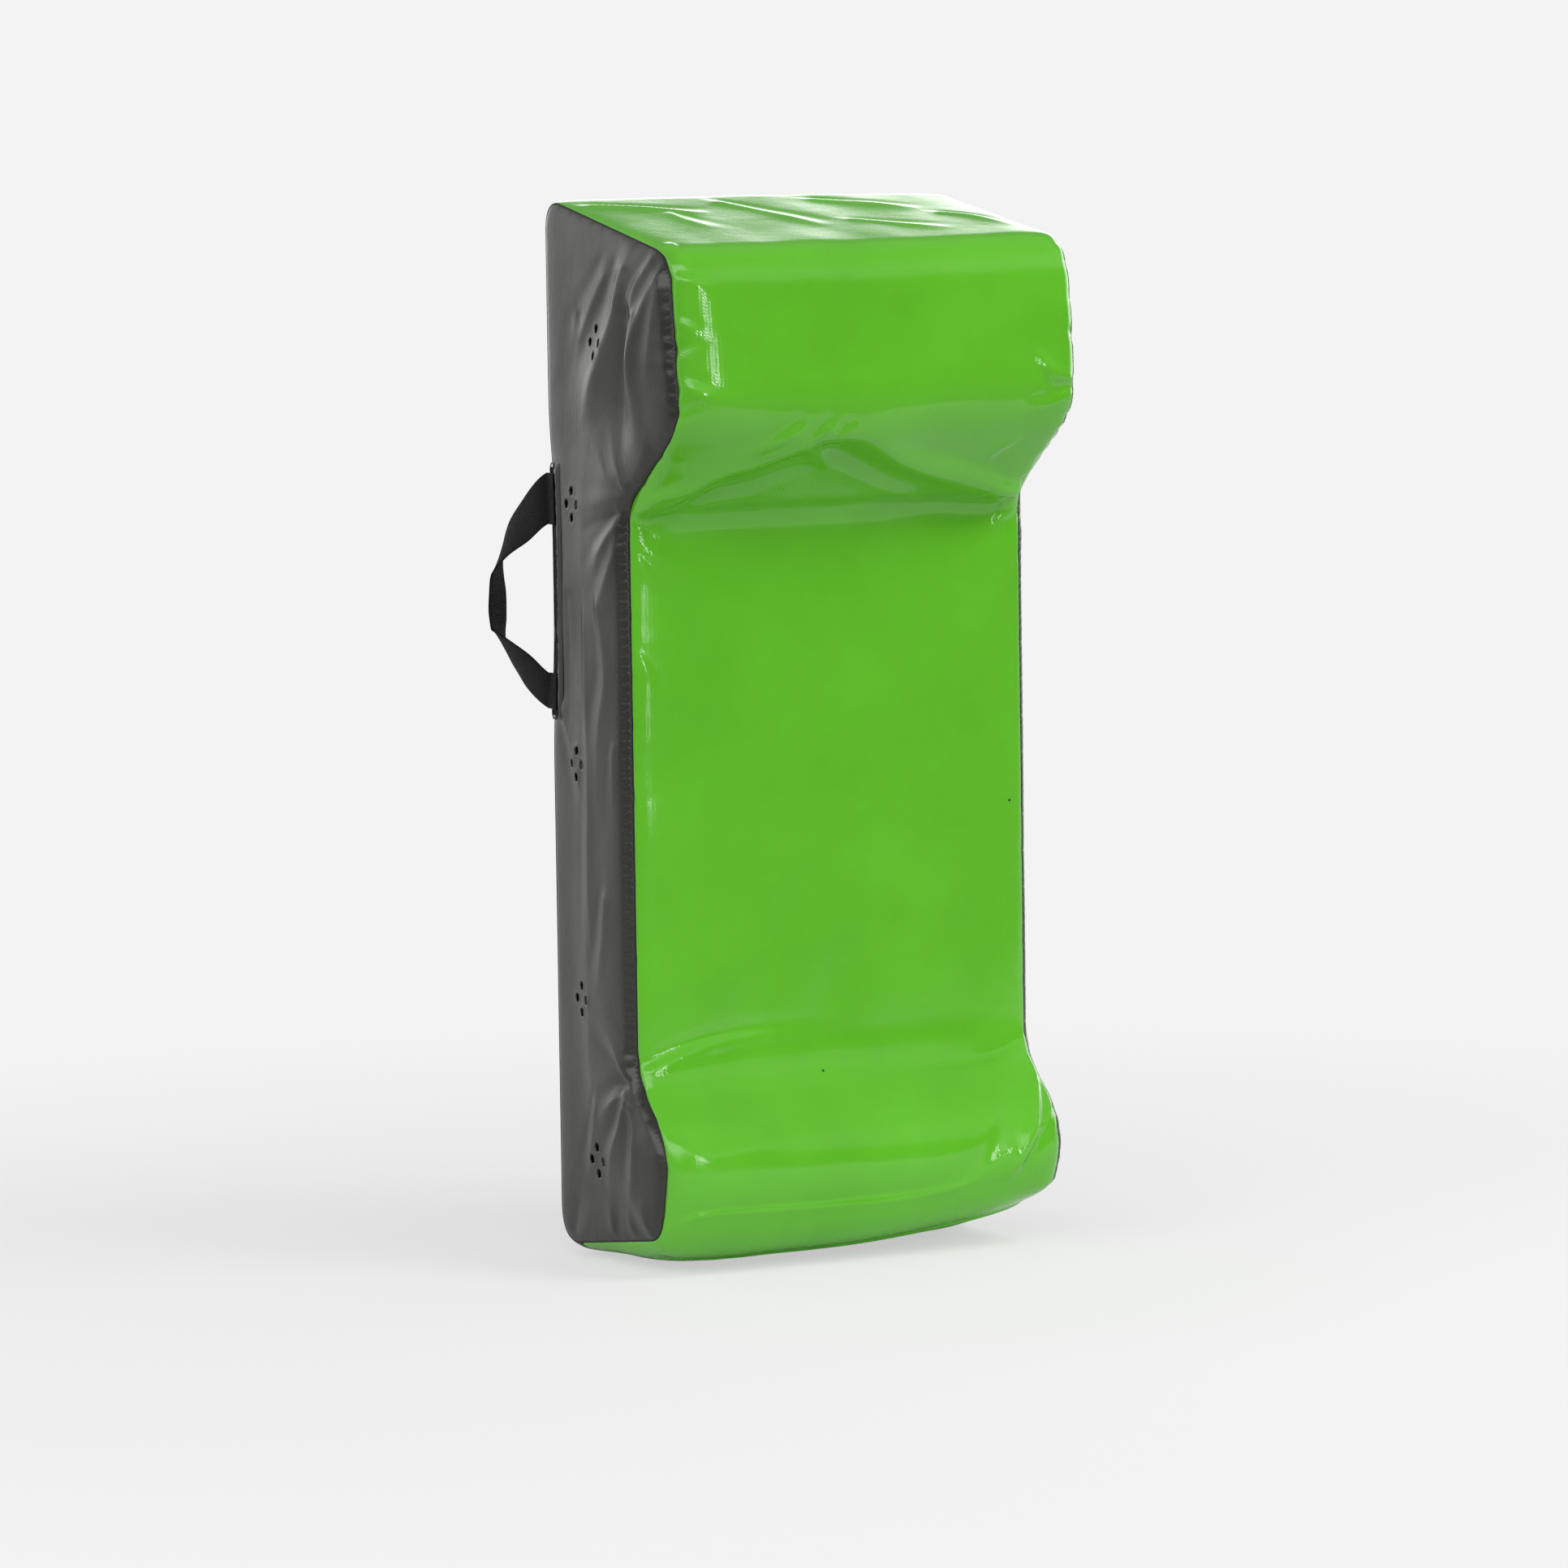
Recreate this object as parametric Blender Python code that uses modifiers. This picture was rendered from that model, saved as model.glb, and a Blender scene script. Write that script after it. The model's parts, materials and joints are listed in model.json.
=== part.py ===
"""Tackle shield for contact training: laminated foam in a sewn PVC cover, with webbing hand loops.

Units are metres, +Z is up and the padded front faces -Y. The origin is the middle of the flat
tread that the shield stands on. Depth is counted forward from the back seam plane.
"""

import math

import bmesh
import bpy
from mathutils import Matrix, Vector

# Side outline at the seams, before its corners are rounded
WIDTH = 0.418
BACK_HEIGHT = 1.007
TOP_DROP = 0.050
TOP_DEPTH = 0.257
HEAD_DEPTH = 0.271
CHIN_HEIGHT = 0.800
WAIST_DEPTH = 0.166
WAIST_TOP = 0.721
WAIST_BOTTOM = 0.188
FOOT_DEPTH = 0.228
FOOT_HEIGHT = 0.122
TOE_DEPTH = 0.209
TOE_HEIGHT = 0.037
TREAD_DEPTH = 0.145
HEEL_HEIGHT = 0.008

# How far each corner's rounding starts from the corner
BACK_TOP_SETBACK = 0.045
BROW_SETBACK = 0.034
CHIN_SETBACK = 0.030
WAIST_TOP_SETBACK = 0.018
WAIST_BOTTOM_SETBACK = 0.024
FOOT_SETBACK = 0.036
TOE_SETBACK = 0.022
TREAD_SETBACK = 0.014
HEEL_SETBACK = 0.042
LEAST_SETBACK = 0.0015
# The longest setback as a share of a side, so that two corners' curves never meet
LONGEST_SETBACK_RATIO = 0.48
# The least bend of an outline that still counts as one, as the drop of its cosine
STRAIGHT_LIMIT = 1e-6

# How far each panel swells past its seams, and how far in from the seam it does so
TOP_CROWN = 0.003
HEAD_CROWN = 0.012
WAIST_CROWN = 0.006
FOOT_CROWN = 0.012
BACK_CROWN = 0.004
SIDE_CROWN = 0.003
WRAP_ROLL = 0.060
SIDE_ROLL = 0.035

# Coated fabric, webbing and the room that touching pieces keep
COVER_THICKNESS = 0.0012
WEBBING_THICKNESS = 0.0016
GAP = 0.0003

# Foam laminations, counted from the back face of the foam
BACK_SLAB_THICKNESS = 0.060

# Vent holes, in groups of four: each group's centre as depth and height
HEAD_VENT_DROP = 0.134
VENT_GROUPS = (
    (0.117, BACK_HEIGHT - HEAD_VENT_DROP), (0.058, 0.719), (0.064, 0.474), (0.066, 0.251), (0.093, 0.100)
)
VENT_REACH = 0.0126
VENT_DIAMETER = 0.009
VENT_SIDES = 12

# Centre back zip, with moulded teeth
ZIP_LENGTH = 0.600
ZIP_MIDDLE_HEIGHT = 0.490
ZIP_SLOT_WIDTH = 0.014
TAPE_WIDTH = 0.016
TAPE_THICKNESS = 0.0008
TAPE_TAIL = 0.016
TOOTH_PITCH = 0.005
TOOTH_THICKNESS = 0.0024
TOOTH_NECK = 0.0015
TOOTH_HEAD = 0.0023
TOOTH_REACH = 0.0009
# Each row's move along the zip as a share of the pitch, so that the two rows interlock
TOOTH_STAGGER_RATIO = 0.25
RIB_EDGE = 0.0012
RIB_WIDTH = 0.0018

# Slider and pull
SLIDER_LENGTH = 0.015
SLIDER_TOP_WIDTH = 0.0108
SLIDER_FOOT_WIDTH = 0.0096
SLIDER_CHAMFER = 0.0015
PLATE_THICKNESS = 0.0012
PLATE_CLEARANCE = 0.0004
FLANGE_WIDTH = 0.0010
BRIDGE_WIRE = 0.0012
BRIDGE_LENGTH = 0.0084
BRIDGE_HEIGHT = 0.0034
PULL_WIDTH = 0.008
PULL_LENGTH = 0.032
PULL_THICKNESS = 0.0016
PULL_CLEARANCE = 0.0007
PULL_WINDOW_WIDTH = 0.0042
PULL_WINDOW_LENGTH = 0.0062
STOP_LENGTH = 0.0036
STOP_THICKNESS = 0.0017
STOP_WIDTH = 0.0028
STOP_ROOM = 0.0010
STOP_BEVEL = 0.0003

# Hand loops: a webbing strip along each back corner, two sewn ends and the free loop
STRIP_WIDTH = 0.020
STRIP_TOP = 0.752
STRIP_BOTTOM = 0.516
STRIP_EDGE = 0.0050
TAB_WIDTH = 0.0180
TAB_EDGE = 0.0010
UPPER_TAB_TOP = 0.746
UPPER_TAB_BOTTOM = 0.697
LOWER_TAB_TOP = 0.556
LOWER_TAB_BOTTOM = 0.522
WEBBING_WIDTH = 0.040
LOOP_AXIS_OUT = 0.0045
LOOP_AXIS_BACK = 0.0020
LOOP_START = 0.0010
LOOP_REACH = 0.098
LOOP_TWIST = 50.0
# The loop's route, as shares of its reach and of its height between the sewn ends, from the top
LOOP_ROUTE_RATIOS = (
    (0.0, 1.0), (0.30, 0.885), (0.63, 0.75), (0.91, 0.61), (1.0, 0.475),
    (0.98, 0.34), (0.84, 0.22), (0.60, 0.13), (0.30, 0.06), (0.0, 0.0),
)
LOOP_SAMPLES = 3
# The share of the loop over which it turns from each sewn end into the twist
LOOP_BLEND_RATIO = 0.22

ARC_STEPS = 5
ROLL_STEPS = 4
RIM_STEPS = 5
BRIDGE_STEPS = 8

ORIGIN_DEPTH = (HEEL_SETBACK + TREAD_DEPTH - TREAD_SETBACK) / 2
WRAP_HALF = WIDTH / 2 - COVER_THICKNESS - GAP
FOAM_INSET = COVER_THICKNESS + TOOTH_THICKNESS + 2 * GAP
BACK_SURFACE = ORIGIN_DEPTH + BACK_CROWN
TAPE_Y = BACK_SURFACE - COVER_THICKNESS - GAP - TAPE_THICKNESS / 2
PLATE_Y = TAPE_Y + TOOTH_THICKNESS / 2 + PLATE_CLEARANCE
ZIP_TOP = ZIP_MIDDLE_HEIGHT + ZIP_LENGTH / 2
ZIP_BOTTOM = ZIP_MIDDLE_HEIGHT - ZIP_LENGTH / 2

GREEN = (0.085, 0.479, 0.023, 1.0)
CHARCOAL = (0.102, 0.102, 0.093, 1.0)
BLACK = (0.012, 0.012, 0.011, 1.0)
FOAM_GREY = (0.33, 0.34, 0.35, 1.0)
ZINC = (0.42, 0.43, 0.44, 1.0)

# Turns a flat outline, drawn in X and Y, to stand in the side plane or in the back plane
SIDE_TURN = Matrix(((0, 0, -1), (-1, 0, 0), (0, 1, 0))).to_4x4()
BACK_TURN = Matrix(((1, 0, 0), (0, 0, -1), (0, 1, 0))).to_4x4()


def clear_scene():
    """Removes every object, so the script can be run again in an open file."""
    for obj in list(bpy.data.objects):
        bpy.data.objects.remove(obj, do_unlink=True)


def new_collection(name):
    collection = bpy.data.collections.new(name)
    bpy.context.scene.collection.children.link(collection)
    return collection


def new_material(name, colour, roughness, metallic=0.0):
    material = bpy.data.materials.new(name)
    material.use_nodes = True
    shader = material.node_tree.nodes["Principled BSDF"]
    shader.inputs["Base Color"].default_value = colour
    shader.inputs["Roughness"].default_value = roughness
    shader.inputs["Metallic"].default_value = metallic
    return material


def new_object(name, data, collection, material=None, location=(0, 0, 0)):
    obj = bpy.data.objects.new(name, data)
    obj.location = location
    if material:
        data.materials.append(material)
    collection.objects.link(obj)
    return obj


def as_cutter(obj):
    obj.hide_render = True
    obj.display_type = "WIRE"
    return obj


def add_boolean(obj, other, operation):
    boolean = obj.modifiers.new(operation.title(), "BOOLEAN")
    boolean.object = other
    boolean.operation = operation
    boolean.solver = "EXACT"


def add_bevel(obj, width):
    bevel = obj.modifiers.new("Edges", "BEVEL")
    bevel.width = width
    bevel.segments = 1
    bevel.limit_method = "ANGLE"


def place(x, depth, height):
    return Vector((x, ORIGIN_DEPTH - depth, height))


def outline_corners(crowned):
    """Corners of the side outline as depth, height and setback, from the back top round the front.

    They are at the seams, or down the middle of the swollen panels when crowned is 1.
    """
    top = BACK_HEIGHT - TOP_DROP
    tread_seam = HEEL_HEIGHT + (TOE_HEIGHT - HEEL_HEIGHT) * TREAD_DEPTH / TOE_DEPTH
    underside = 1 - crowned
    return [
        (-BACK_CROWN * crowned, BACK_HEIGHT + TOP_CROWN * crowned, BACK_TOP_SETBACK),
        (TOP_DEPTH + HEAD_CROWN * crowned, top + TOP_CROWN * crowned, BROW_SETBACK),
        (HEAD_DEPTH + HEAD_CROWN * crowned, CHIN_HEIGHT - HEAD_CROWN / 2 * crowned, CHIN_SETBACK),
        (WAIST_DEPTH + WAIST_CROWN * crowned, WAIST_TOP - WAIST_CROWN * crowned, WAIST_TOP_SETBACK),
        (WAIST_DEPTH + WAIST_CROWN * crowned, WAIST_BOTTOM, WAIST_BOTTOM_SETBACK),
        (FOOT_DEPTH + FOOT_CROWN * crowned, FOOT_HEIGHT, FOOT_SETBACK),
        (TOE_DEPTH + FOOT_CROWN / 2 * crowned, TOE_HEIGHT * (1 - crowned / 2), TOE_SETBACK),
        (TREAD_DEPTH, tread_seam * underside, TREAD_SETBACK),
        (-BACK_CROWN * crowned, HEEL_HEIGHT * underside, HEEL_SETBACK),
    ]


def moved_in(corners, inset):
    """The same corners with every edge moved inwards, and each setback changed to suit."""
    points = [Vector(corner[:2]) for corner in corners]
    count = len(points)
    moved = []
    for i, corner in enumerate(corners):
        before = (points[i] - points[i - 1]).normalized()
        after = (points[(i + 1) % count] - points[i]).normalized()
        turn = math.atan2(before.y * after.x - before.x * after.y, before.dot(after))
        half_tan = math.tan(turn / 2)
        inward = Vector((before.y, -before.x))
        place_in = points[i] + (inward - before * half_tan) * inset
        moved.append((place_in.x, place_in.y, max(corner[2] - inset * half_tan, LEAST_SETBACK)))
    return moved


def rounded(corners):
    """One list of points for each corner, along a smooth curve between its two setbacks."""
    points = [Vector(corner[:2]) for corner in corners]
    count = len(points)
    curves = []
    for i, corner in enumerate(corners):
        before = points[i - 1] - points[i]
        after = points[(i + 1) % count] - points[i]
        setback = min(corner[2], LONGEST_SETBACK_RATIO * min(before.length, after.length))
        start = points[i] + before.normalized() * setback
        end = points[i] + after.normalized() * setback
        curve = []
        for step in range(ARC_STEPS + 1):
            t = step / ARC_STEPS
            curve.append(start * (1 - t) ** 2 + points[i] * 2 * t * (1 - t) + end * t**2)
        curves.append(curve)
    return curves


def seam_and_middle(panel):
    """Matching outline points at the seam and down the middle, for the front or the back panel."""
    rows = []
    for crowned in (0, 1):
        curves = rounded(outline_corners(crowned))
        if panel == "front":
            path = [curves[0][-1]] + [point for curve in curves[1:-1] for point in curve]
            path.append(curves[-1][0])
        else:
            path = curves[-1] + curves[0]
        path[0] = path[0] + (path[1] - path[0]).normalized() * GAP / 2
        path[-1] = path[-1] + (path[-2] - path[-1]).normalized() * GAP / 2
        rows.append(path)
    return list(zip(*rows))


def roll():
    """Shares of the way in from a seam and of the swelling there, along a quarter ellipse."""
    for step in range(ROLL_STEPS + 1):
        angle = math.pi / 2 * step / ROLL_STEPS
        yield 1 - math.cos(angle), math.sin(angle)


def loft(name, rows, closed=False):
    """A surface through rows of points, all of one length. Closed rows are also capped at the end."""
    bm = bmesh.new()
    lines = [[bm.verts.new(point) for point in row] for row in rows]
    count = len(lines[0])
    for first, second in zip(lines, lines[1:]):
        for i in range(count if closed else count - 1):
            j = (i + 1) % count
            bm.faces.new((first[i], first[j], second[j], second[i]))
    if closed:
        bm.faces.new(lines[-1])
    return finish_mesh(name, bm)


def finish_mesh(name, bm):
    bm.normal_update()
    mesh = bpy.data.meshes.new(name)
    bm.to_mesh(mesh)
    bm.free()
    return mesh


def face_out(mesh, inside):
    """Turns the faces so that they look away from a point that the surface wraps."""
    outward = sum(face.normal.dot(face.center - inside) * face.area for face in mesh.polygons)
    if outward < 0:
        mesh.flip_normals()


def thicken(obj, thickness, offset=-1):
    solidify = obj.modifiers.new("Fabric", "SOLIDIFY")
    solidify.thickness = thickness
    solidify.offset = offset
    solidify.use_even_offset = False


def smooth(obj, angle=40):
    obj.data.shade_smooth()
    obj.data.set_sharp_from_angle(angle=math.radians(angle))


def shell_middle():
    return place(0, WAIST_DEPTH / 2, BACK_HEIGHT / 2)


def make_front_cover(collection, material):
    """One strip of coated fabric over the top, down the front and under the tread."""
    across = [(WRAP_HALF - WRAP_ROLL * way_in, swell) for way_in, swell in roll()]
    columns = [(-x, swell) for x, swell in across] + [(x, swell) for x, swell in reversed(across)]
    rows = []
    for seam, middle in seam_and_middle("front"):
        rows.append([place(x, *seam.lerp(middle, swell)) for x, swell in columns])
    mesh = loft("front_cover", rows)
    face_out(mesh, shell_middle())
    cover = new_object("front_cover", mesh, collection, material)
    thicken(cover, COVER_THICKNESS)
    smooth(cover)


def make_back_cover(side, name, collection, cutters, material):
    """Half of the back, from a side seam to the centre seam, with its share of the zip's slot."""
    columns = [(WRAP_HALF - WRAP_ROLL * way_in, swell) for way_in, swell in roll()]
    columns.append((GAP / 2, 1.0))
    rows = []
    for seam, middle in seam_and_middle("back"):
        rows.append([place(side * x, *seam.lerp(middle, swell)) for x, swell in columns])
    mesh = loft(name, rows)
    face_out(mesh, shell_middle())
    cover = new_object(name, mesh, collection, material)
    thicken(cover, COVER_THICKNESS)
    add_boolean(cover, cutters["zip_slot"], "DIFFERENCE")
    smooth(cover)


def side_swell(inset):
    """How far a side panel stands out past the seam, at a distance in from it."""
    way_in = min(max((inset - GAP) / SIDE_ROLL, 0.0), 1.0)
    return SIDE_CROWN * math.sqrt(1 - (1 - way_in) ** 2)


def make_side_cover(side, name, collection, cutters, material):
    """A side panel in the outline's shape, swollen inside its rim and punched with vents."""
    rows = []
    for way_in, swell in roll():
        curves = rounded(moved_in(outline_corners(0), GAP + SIDE_ROLL * way_in))
        x = side * (WIDTH / 2 + SIDE_CROWN * swell)
        rows.append([place(x, *point) for curve in curves for point in curve])
    mesh = loft(name, rows, closed=True)
    face_out(mesh, shell_middle())
    cover = new_object(name, mesh, collection, material)
    thicken(cover, COVER_THICKNESS)
    add_boolean(cover, cutters["vents"], "DIFFERENCE")
    smooth(cover)


def make_vent_cutter(collection):
    """Straight punches through both side panels, four to a group."""
    bm = bmesh.new()
    length = WIDTH + 4 * SIDE_CROWN
    for depth, height in VENT_GROUPS:
        for turn in range(4):
            angle = math.pi / 2 * turn
            middle = place(
                0, depth + VENT_REACH * math.cos(angle), height + VENT_REACH * math.sin(angle)
            )
            bmesh.ops.create_cone(
                bm,
                cap_ends=True,
                segments=VENT_SIDES,
                radius1=VENT_DIAMETER / 2,
                radius2=VENT_DIAMETER / 2,
                depth=length,
                matrix=Matrix.Translation(middle) @ Matrix.Rotation(math.pi / 2, 4, "Y"),
            )
    return as_cutter(new_object("vent_punches", finish_mesh("vent_punches", bm), collection))


def box_mesh(name, size):
    bm = bmesh.new()
    bmesh.ops.create_cube(bm, size=1.0, matrix=Matrix.Diagonal((*size, 1)))
    return finish_mesh(name, bm)


def make_slot_cutter(collection):
    size = (ZIP_SLOT_WIDTH, 4 * BACK_CROWN + 4 * COVER_THICKNESS, ZIP_LENGTH + 4 * STOP_LENGTH)
    middle = (0, BACK_SURFACE, ZIP_MIDDLE_HEIGHT)
    return as_cutter(new_object("zip_slot", box_mesh("zip_slot", size), collection, None, middle))


def flat_curve(name, outlines, thickness):
    """A filled flat shape from closed outlines, where an outline inside another is a hole."""
    curve = bpy.data.curves.new(name, "CURVE")
    curve.dimensions = "2D"
    curve.fill_mode = "BOTH"
    curve.extrude = thickness / 2
    for outline in outlines:
        spline = curve.splines.new("POLY")
        spline.points.add(len(outline) - 1)
        for point, (x, y) in zip(spline.points, outline):
            point.co = (x, y, 0, 1)
        spline.use_cyclic_u = True
    return curve


def curve_to_mesh(name, curve, matrix):
    """The curve's solid as a mesh, its caps welded, turned by the matrix."""
    source = bpy.data.objects.new(name, curve)
    bpy.context.scene.collection.objects.link(source)
    graph = bpy.context.evaluated_depsgraph_get()
    mesh = bpy.data.meshes.new_from_object(source.evaluated_get(graph))
    bpy.data.objects.remove(source, do_unlink=True)
    bm = bmesh.new()
    bm.from_mesh(mesh)
    bmesh.ops.remove_doubles(bm, verts=bm.verts, dist=1e-6)
    bmesh.ops.transform(bm, matrix=matrix, verts=bm.verts)
    bmesh.ops.recalc_face_normals(bm, faces=bm.faces)
    bm.to_mesh(mesh)
    bm.free()
    mesh.name = name
    return mesh


def clipped(points, limit, keep_deeper):
    """The part of a closed outline on one side of an upright line at a depth."""
    sign = 1 if keep_deeper else -1
    kept = []
    for first, second in zip(points, points[1:] + points[:1]):
        a = (first.x - limit) * sign
        b = (second.x - limit) * sign
        if a >= 0:
            kept.append(first)
        if a * b < 0:
            kept.append(first.lerp(second, a / (a - b)))
    return kept


def lobes_beyond(points, limit):
    """The closed stretches of an outline that lie deeper than a limit, in the outline's order."""
    first_out = next(i for i, point in enumerate(points) if point.x < limit)
    ring = points[first_out:] + points[: first_out + 1]
    lobes = []
    for first, second in zip(ring, ring[1:]):
        crossing = first.lerp(second, (first.x - limit) / (first.x - second.x or 1))
        if first.x < limit <= second.x:
            lobes.append([crossing])
        if second.x >= limit:
            lobes[-1].append(second)
        elif first.x >= limit:
            lobes[-1].append(crossing)
    return lobes


def bends_only(points):
    """A closed outline without the points that lie on a straight run between their neighbours."""
    kept = []
    for i, point in enumerate(points):
        before = (point - points[i - 1]).normalized()
        after = (points[(i + 1) % len(points)] - point).normalized()
        if before.dot(after) < 1 - STRAIGHT_LIMIT:
            kept.append(point)
    return kept


def make_foam(collection, material):
    """Two full slabs, with a head block and a foot block glued to the front one."""
    curves = rounded(moved_in(outline_corners(0), FOAM_INSET))
    core = bends_only([point for curve in curves for point in curve])
    back_face = FOAM_INSET + BACK_SLAB_THICKNESS
    glue_line = WAIST_DEPTH - FOAM_INSET
    front_slab = clipped(clipped(core, back_face + GAP, True), glue_line - GAP / 2, False)
    head_block, foot_block = lobes_beyond(core, glue_line + GAP / 2)
    pieces = {
        "foam_back_slab": clipped(core, back_face, False),
        "foam_front_slab": front_slab,
        "foam_head_block": head_block,
        "foam_foot_block": foot_block,
    }
    for name, outline in pieces.items():
        curve = flat_curve(name, [outline], WIDTH - 2 * FOAM_INSET)
        mesh = curve_to_mesh(name, curve, Matrix.Translation(place(0, 0, 0)) @ SIDE_TURN)
        new_object(name, mesh, collection, material)


def comb_outline(shift):
    """Flat outline of the right row of teeth on its rib, shifted by a share of the pitch."""
    count = int(ZIP_LENGTH / TOOTH_PITCH + 1e-6) - 1
    start = -TOOTH_PITCH * (count - 1) / 2
    outer = RIB_EDGE + RIB_WIDTH
    edge = RIB_EDGE
    tip = -TOOTH_REACH
    points = [(outer, -ZIP_LENGTH / 2), (edge, -ZIP_LENGTH / 2)]
    for tooth in range(count):
        y = start + TOOTH_PITCH * (tooth + shift)
        points += [
            (edge, y - TOOTH_NECK / 2),
            (tip, y - TOOTH_HEAD / 2),
            (tip, y + TOOTH_HEAD / 2),
            (edge, y + TOOTH_NECK / 2),
        ]
    points += [(edge, ZIP_LENGTH / 2), (outer, ZIP_LENGTH / 2)]
    return points


def make_zip_chain(side, name, shift, collection, cutters, material):
    """One tape with its moulded row of teeth."""
    middle = Vector((0, TAPE_Y, ZIP_MIDDLE_HEIGHT))
    curve = flat_curve(name, [comb_outline(shift)], TOOTH_THICKNESS)
    turn = Matrix.Diagonal((side, 1, 1, 1)) @ BACK_TURN
    chain = new_object(name, curve_to_mesh(name, curve, turn), collection, material, middle)
    inner = RIB_EDGE + RIB_WIDTH / 2
    size = (TAPE_WIDTH - inner, TAPE_THICKNESS, ZIP_LENGTH + 2 * TAPE_TAIL)
    tape_middle = middle + Vector((side * (inner + TAPE_WIDTH) / 2, 0, 0))
    tape_name = name + "_tape"
    tape = new_object(tape_name, box_mesh(tape_name, size), cutters, None, tape_middle)
    add_boolean(chain, as_cutter(tape), "UNION")


def make_zip_stops(collection, material):
    """A moulded stop on each tape above the teeth, and one across both below them."""
    y = TAPE_Y + TAPE_THICKNESS / 2 + GAP + STOP_THICKNESS / 2
    top = ZIP_TOP + STOP_ROOM + STOP_LENGTH / 2
    bottom = ZIP_BOTTOM - STOP_ROOM - STOP_LENGTH / 2
    for side, name in ((-1, "zip_top_stop_left"), (1, "zip_top_stop_right")):
        size = (STOP_WIDTH, STOP_THICKNESS, STOP_LENGTH)
        middle = (side * (GAP + STOP_WIDTH / 2), y, top)
        add_bevel(new_object(name, box_mesh(name, size), collection, material, middle), STOP_BEVEL)
    name = "zip_bottom_stop"
    size = (2 * (STOP_WIDTH + GAP), STOP_THICKNESS, STOP_LENGTH)
    add_bevel(new_object(name, box_mesh(name, size), collection, material, (0, y, bottom)), STOP_BEVEL)


def slider_origin():
    height = ZIP_TOP - SLIDER_LENGTH / 2 - STOP_ROOM
    return Vector((0, PLATE_Y + PLATE_THICKNESS / 2, height))


def make_zip_slider(collection, cutters, material):
    """The slider's outer plate, its two flanges beside the teeth and the bridge for the pull."""
    foot = SLIDER_FOOT_WIDTH / 2
    top = SLIDER_TOP_WIDTH / 2
    half = SLIDER_LENGTH / 2
    cut = SLIDER_CHAMFER
    outline = [(-foot, cut - half), (cut - foot, -half), (foot - cut, -half), (foot, cut - half),
               (top, half - 2 * cut), (top - cut, half), (cut - top, half), (-top, half - 2 * cut)]
    curve = flat_curve("zip_slider", [outline], PLATE_THICKNESS)
    mesh = curve_to_mesh("zip_slider", curve, BACK_TURN)
    origin = slider_origin()
    slider = new_object("zip_slider", mesh, collection, material, origin)
    reach = PLATE_CLEARANCE + TOOTH_THICKNESS / 2 - TAPE_THICKNESS / 2 - GAP + PLATE_THICKNESS / 2
    for side, name in ((-1, "flange_left"), (1, "flange_right")):
        size = (FLANGE_WIDTH, reach, SLIDER_LENGTH - 2 * cut)
        offset = Vector((side * (foot - FLANGE_WIDTH / 2), -reach / 2, 0))
        flange = new_object(name, box_mesh(name, size), cutters, None, origin + offset)
        add_boolean(slider, as_cutter(flange), "UNION")
    bridge = new_object("bridge", bridge_mesh(), cutters, None, origin)
    add_boolean(slider, as_cutter(bridge), "UNION")


def bridge_mesh():
    """A wire arch along the slider, its feet sunk in the plate."""
    curve = bpy.data.curves.new("bridge", "CURVE")
    curve.dimensions = "3D"
    curve.bevel_depth = BRIDGE_WIRE / 2
    curve.bevel_resolution = 1
    curve.use_fill_caps = True
    spline = curve.splines.new("POLY")
    spline.points.add(BRIDGE_STEPS)
    for step, point in enumerate(spline.points):
        angle = math.pi * step / BRIDGE_STEPS
        y = BRIDGE_HEIGHT * math.sin(angle) + PLATE_THICKNESS / 4
        point.co = (0, y, BRIDGE_LENGTH / 2 * math.cos(angle), 1)
    return curve_to_mesh("bridge", curve, Matrix())


def pull_axis():
    out = PLATE_THICKNESS / 2 + PULL_CLEARANCE + PULL_THICKNESS / 2
    return slider_origin() + Vector((0, out, 0))


def rounded_rectangle(width, bottom, top, radius, steps=3):
    """Corner points of an upright rectangle with round corners, anticlockwise."""
    half = width / 2 - radius
    centres = ((half, bottom + radius, -90), (half, top - radius, 0),
               (-half, top - radius, 90), (-half, bottom + radius, 180))
    points = []
    for x, y, first in centres:
        for step in range(steps + 1):
            angle = math.radians(first + 90 * step / steps)
            points.append((x + radius * math.cos(angle), y + radius * math.sin(angle)))
    return points


def make_zip_pull(collection, material):
    """A flat pull with a window that the slider's bridge passes through. It hangs from its top bar."""
    bar = PULL_THICKNESS / 2
    outer = rounded_rectangle(PULL_WIDTH, bar - PULL_LENGTH, bar, PULL_THICKNESS)
    window = rounded_rectangle(PULL_WINDOW_WIDTH, -bar - PULL_WINDOW_LENGTH, -bar, BRIDGE_WIRE / 2)
    curve = flat_curve("zip_pull", [outer, window], PULL_THICKNESS)
    mesh = curve_to_mesh("zip_pull", curve, BACK_TURN)
    new_object("zip_pull", mesh, collection, material, pull_axis())


def rim_path(start, width, lift):
    """Points over a side panel's rim behind its back seam, as inset and outward reach."""
    path = []
    for step in range(RIM_STEPS + 1):
        inset = start + width * step / RIM_STEPS
        slope = (side_swell(inset + 1e-5) - side_swell(inset)) / 1e-5
        normal = Vector((-slope, 1)).normalized()
        path.append(Vector((inset, WIDTH / 2 + side_swell(inset))) + normal * lift)
    return path


def make_rim_strip(side, name, span, start, width, lift, collection, material):
    """A flat length of webbing that lies over the rim of a side panel."""
    path = rim_path(start, width, lift)
    rows = [[place(side * out, inset, height) for inset, out in path] for height in span]
    mesh = loft(name, rows)
    face_out(mesh, shell_middle())
    strip = new_object(name, mesh, collection, material)
    thicken(strip, WEBBING_THICKNESS, offset=1)


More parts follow.
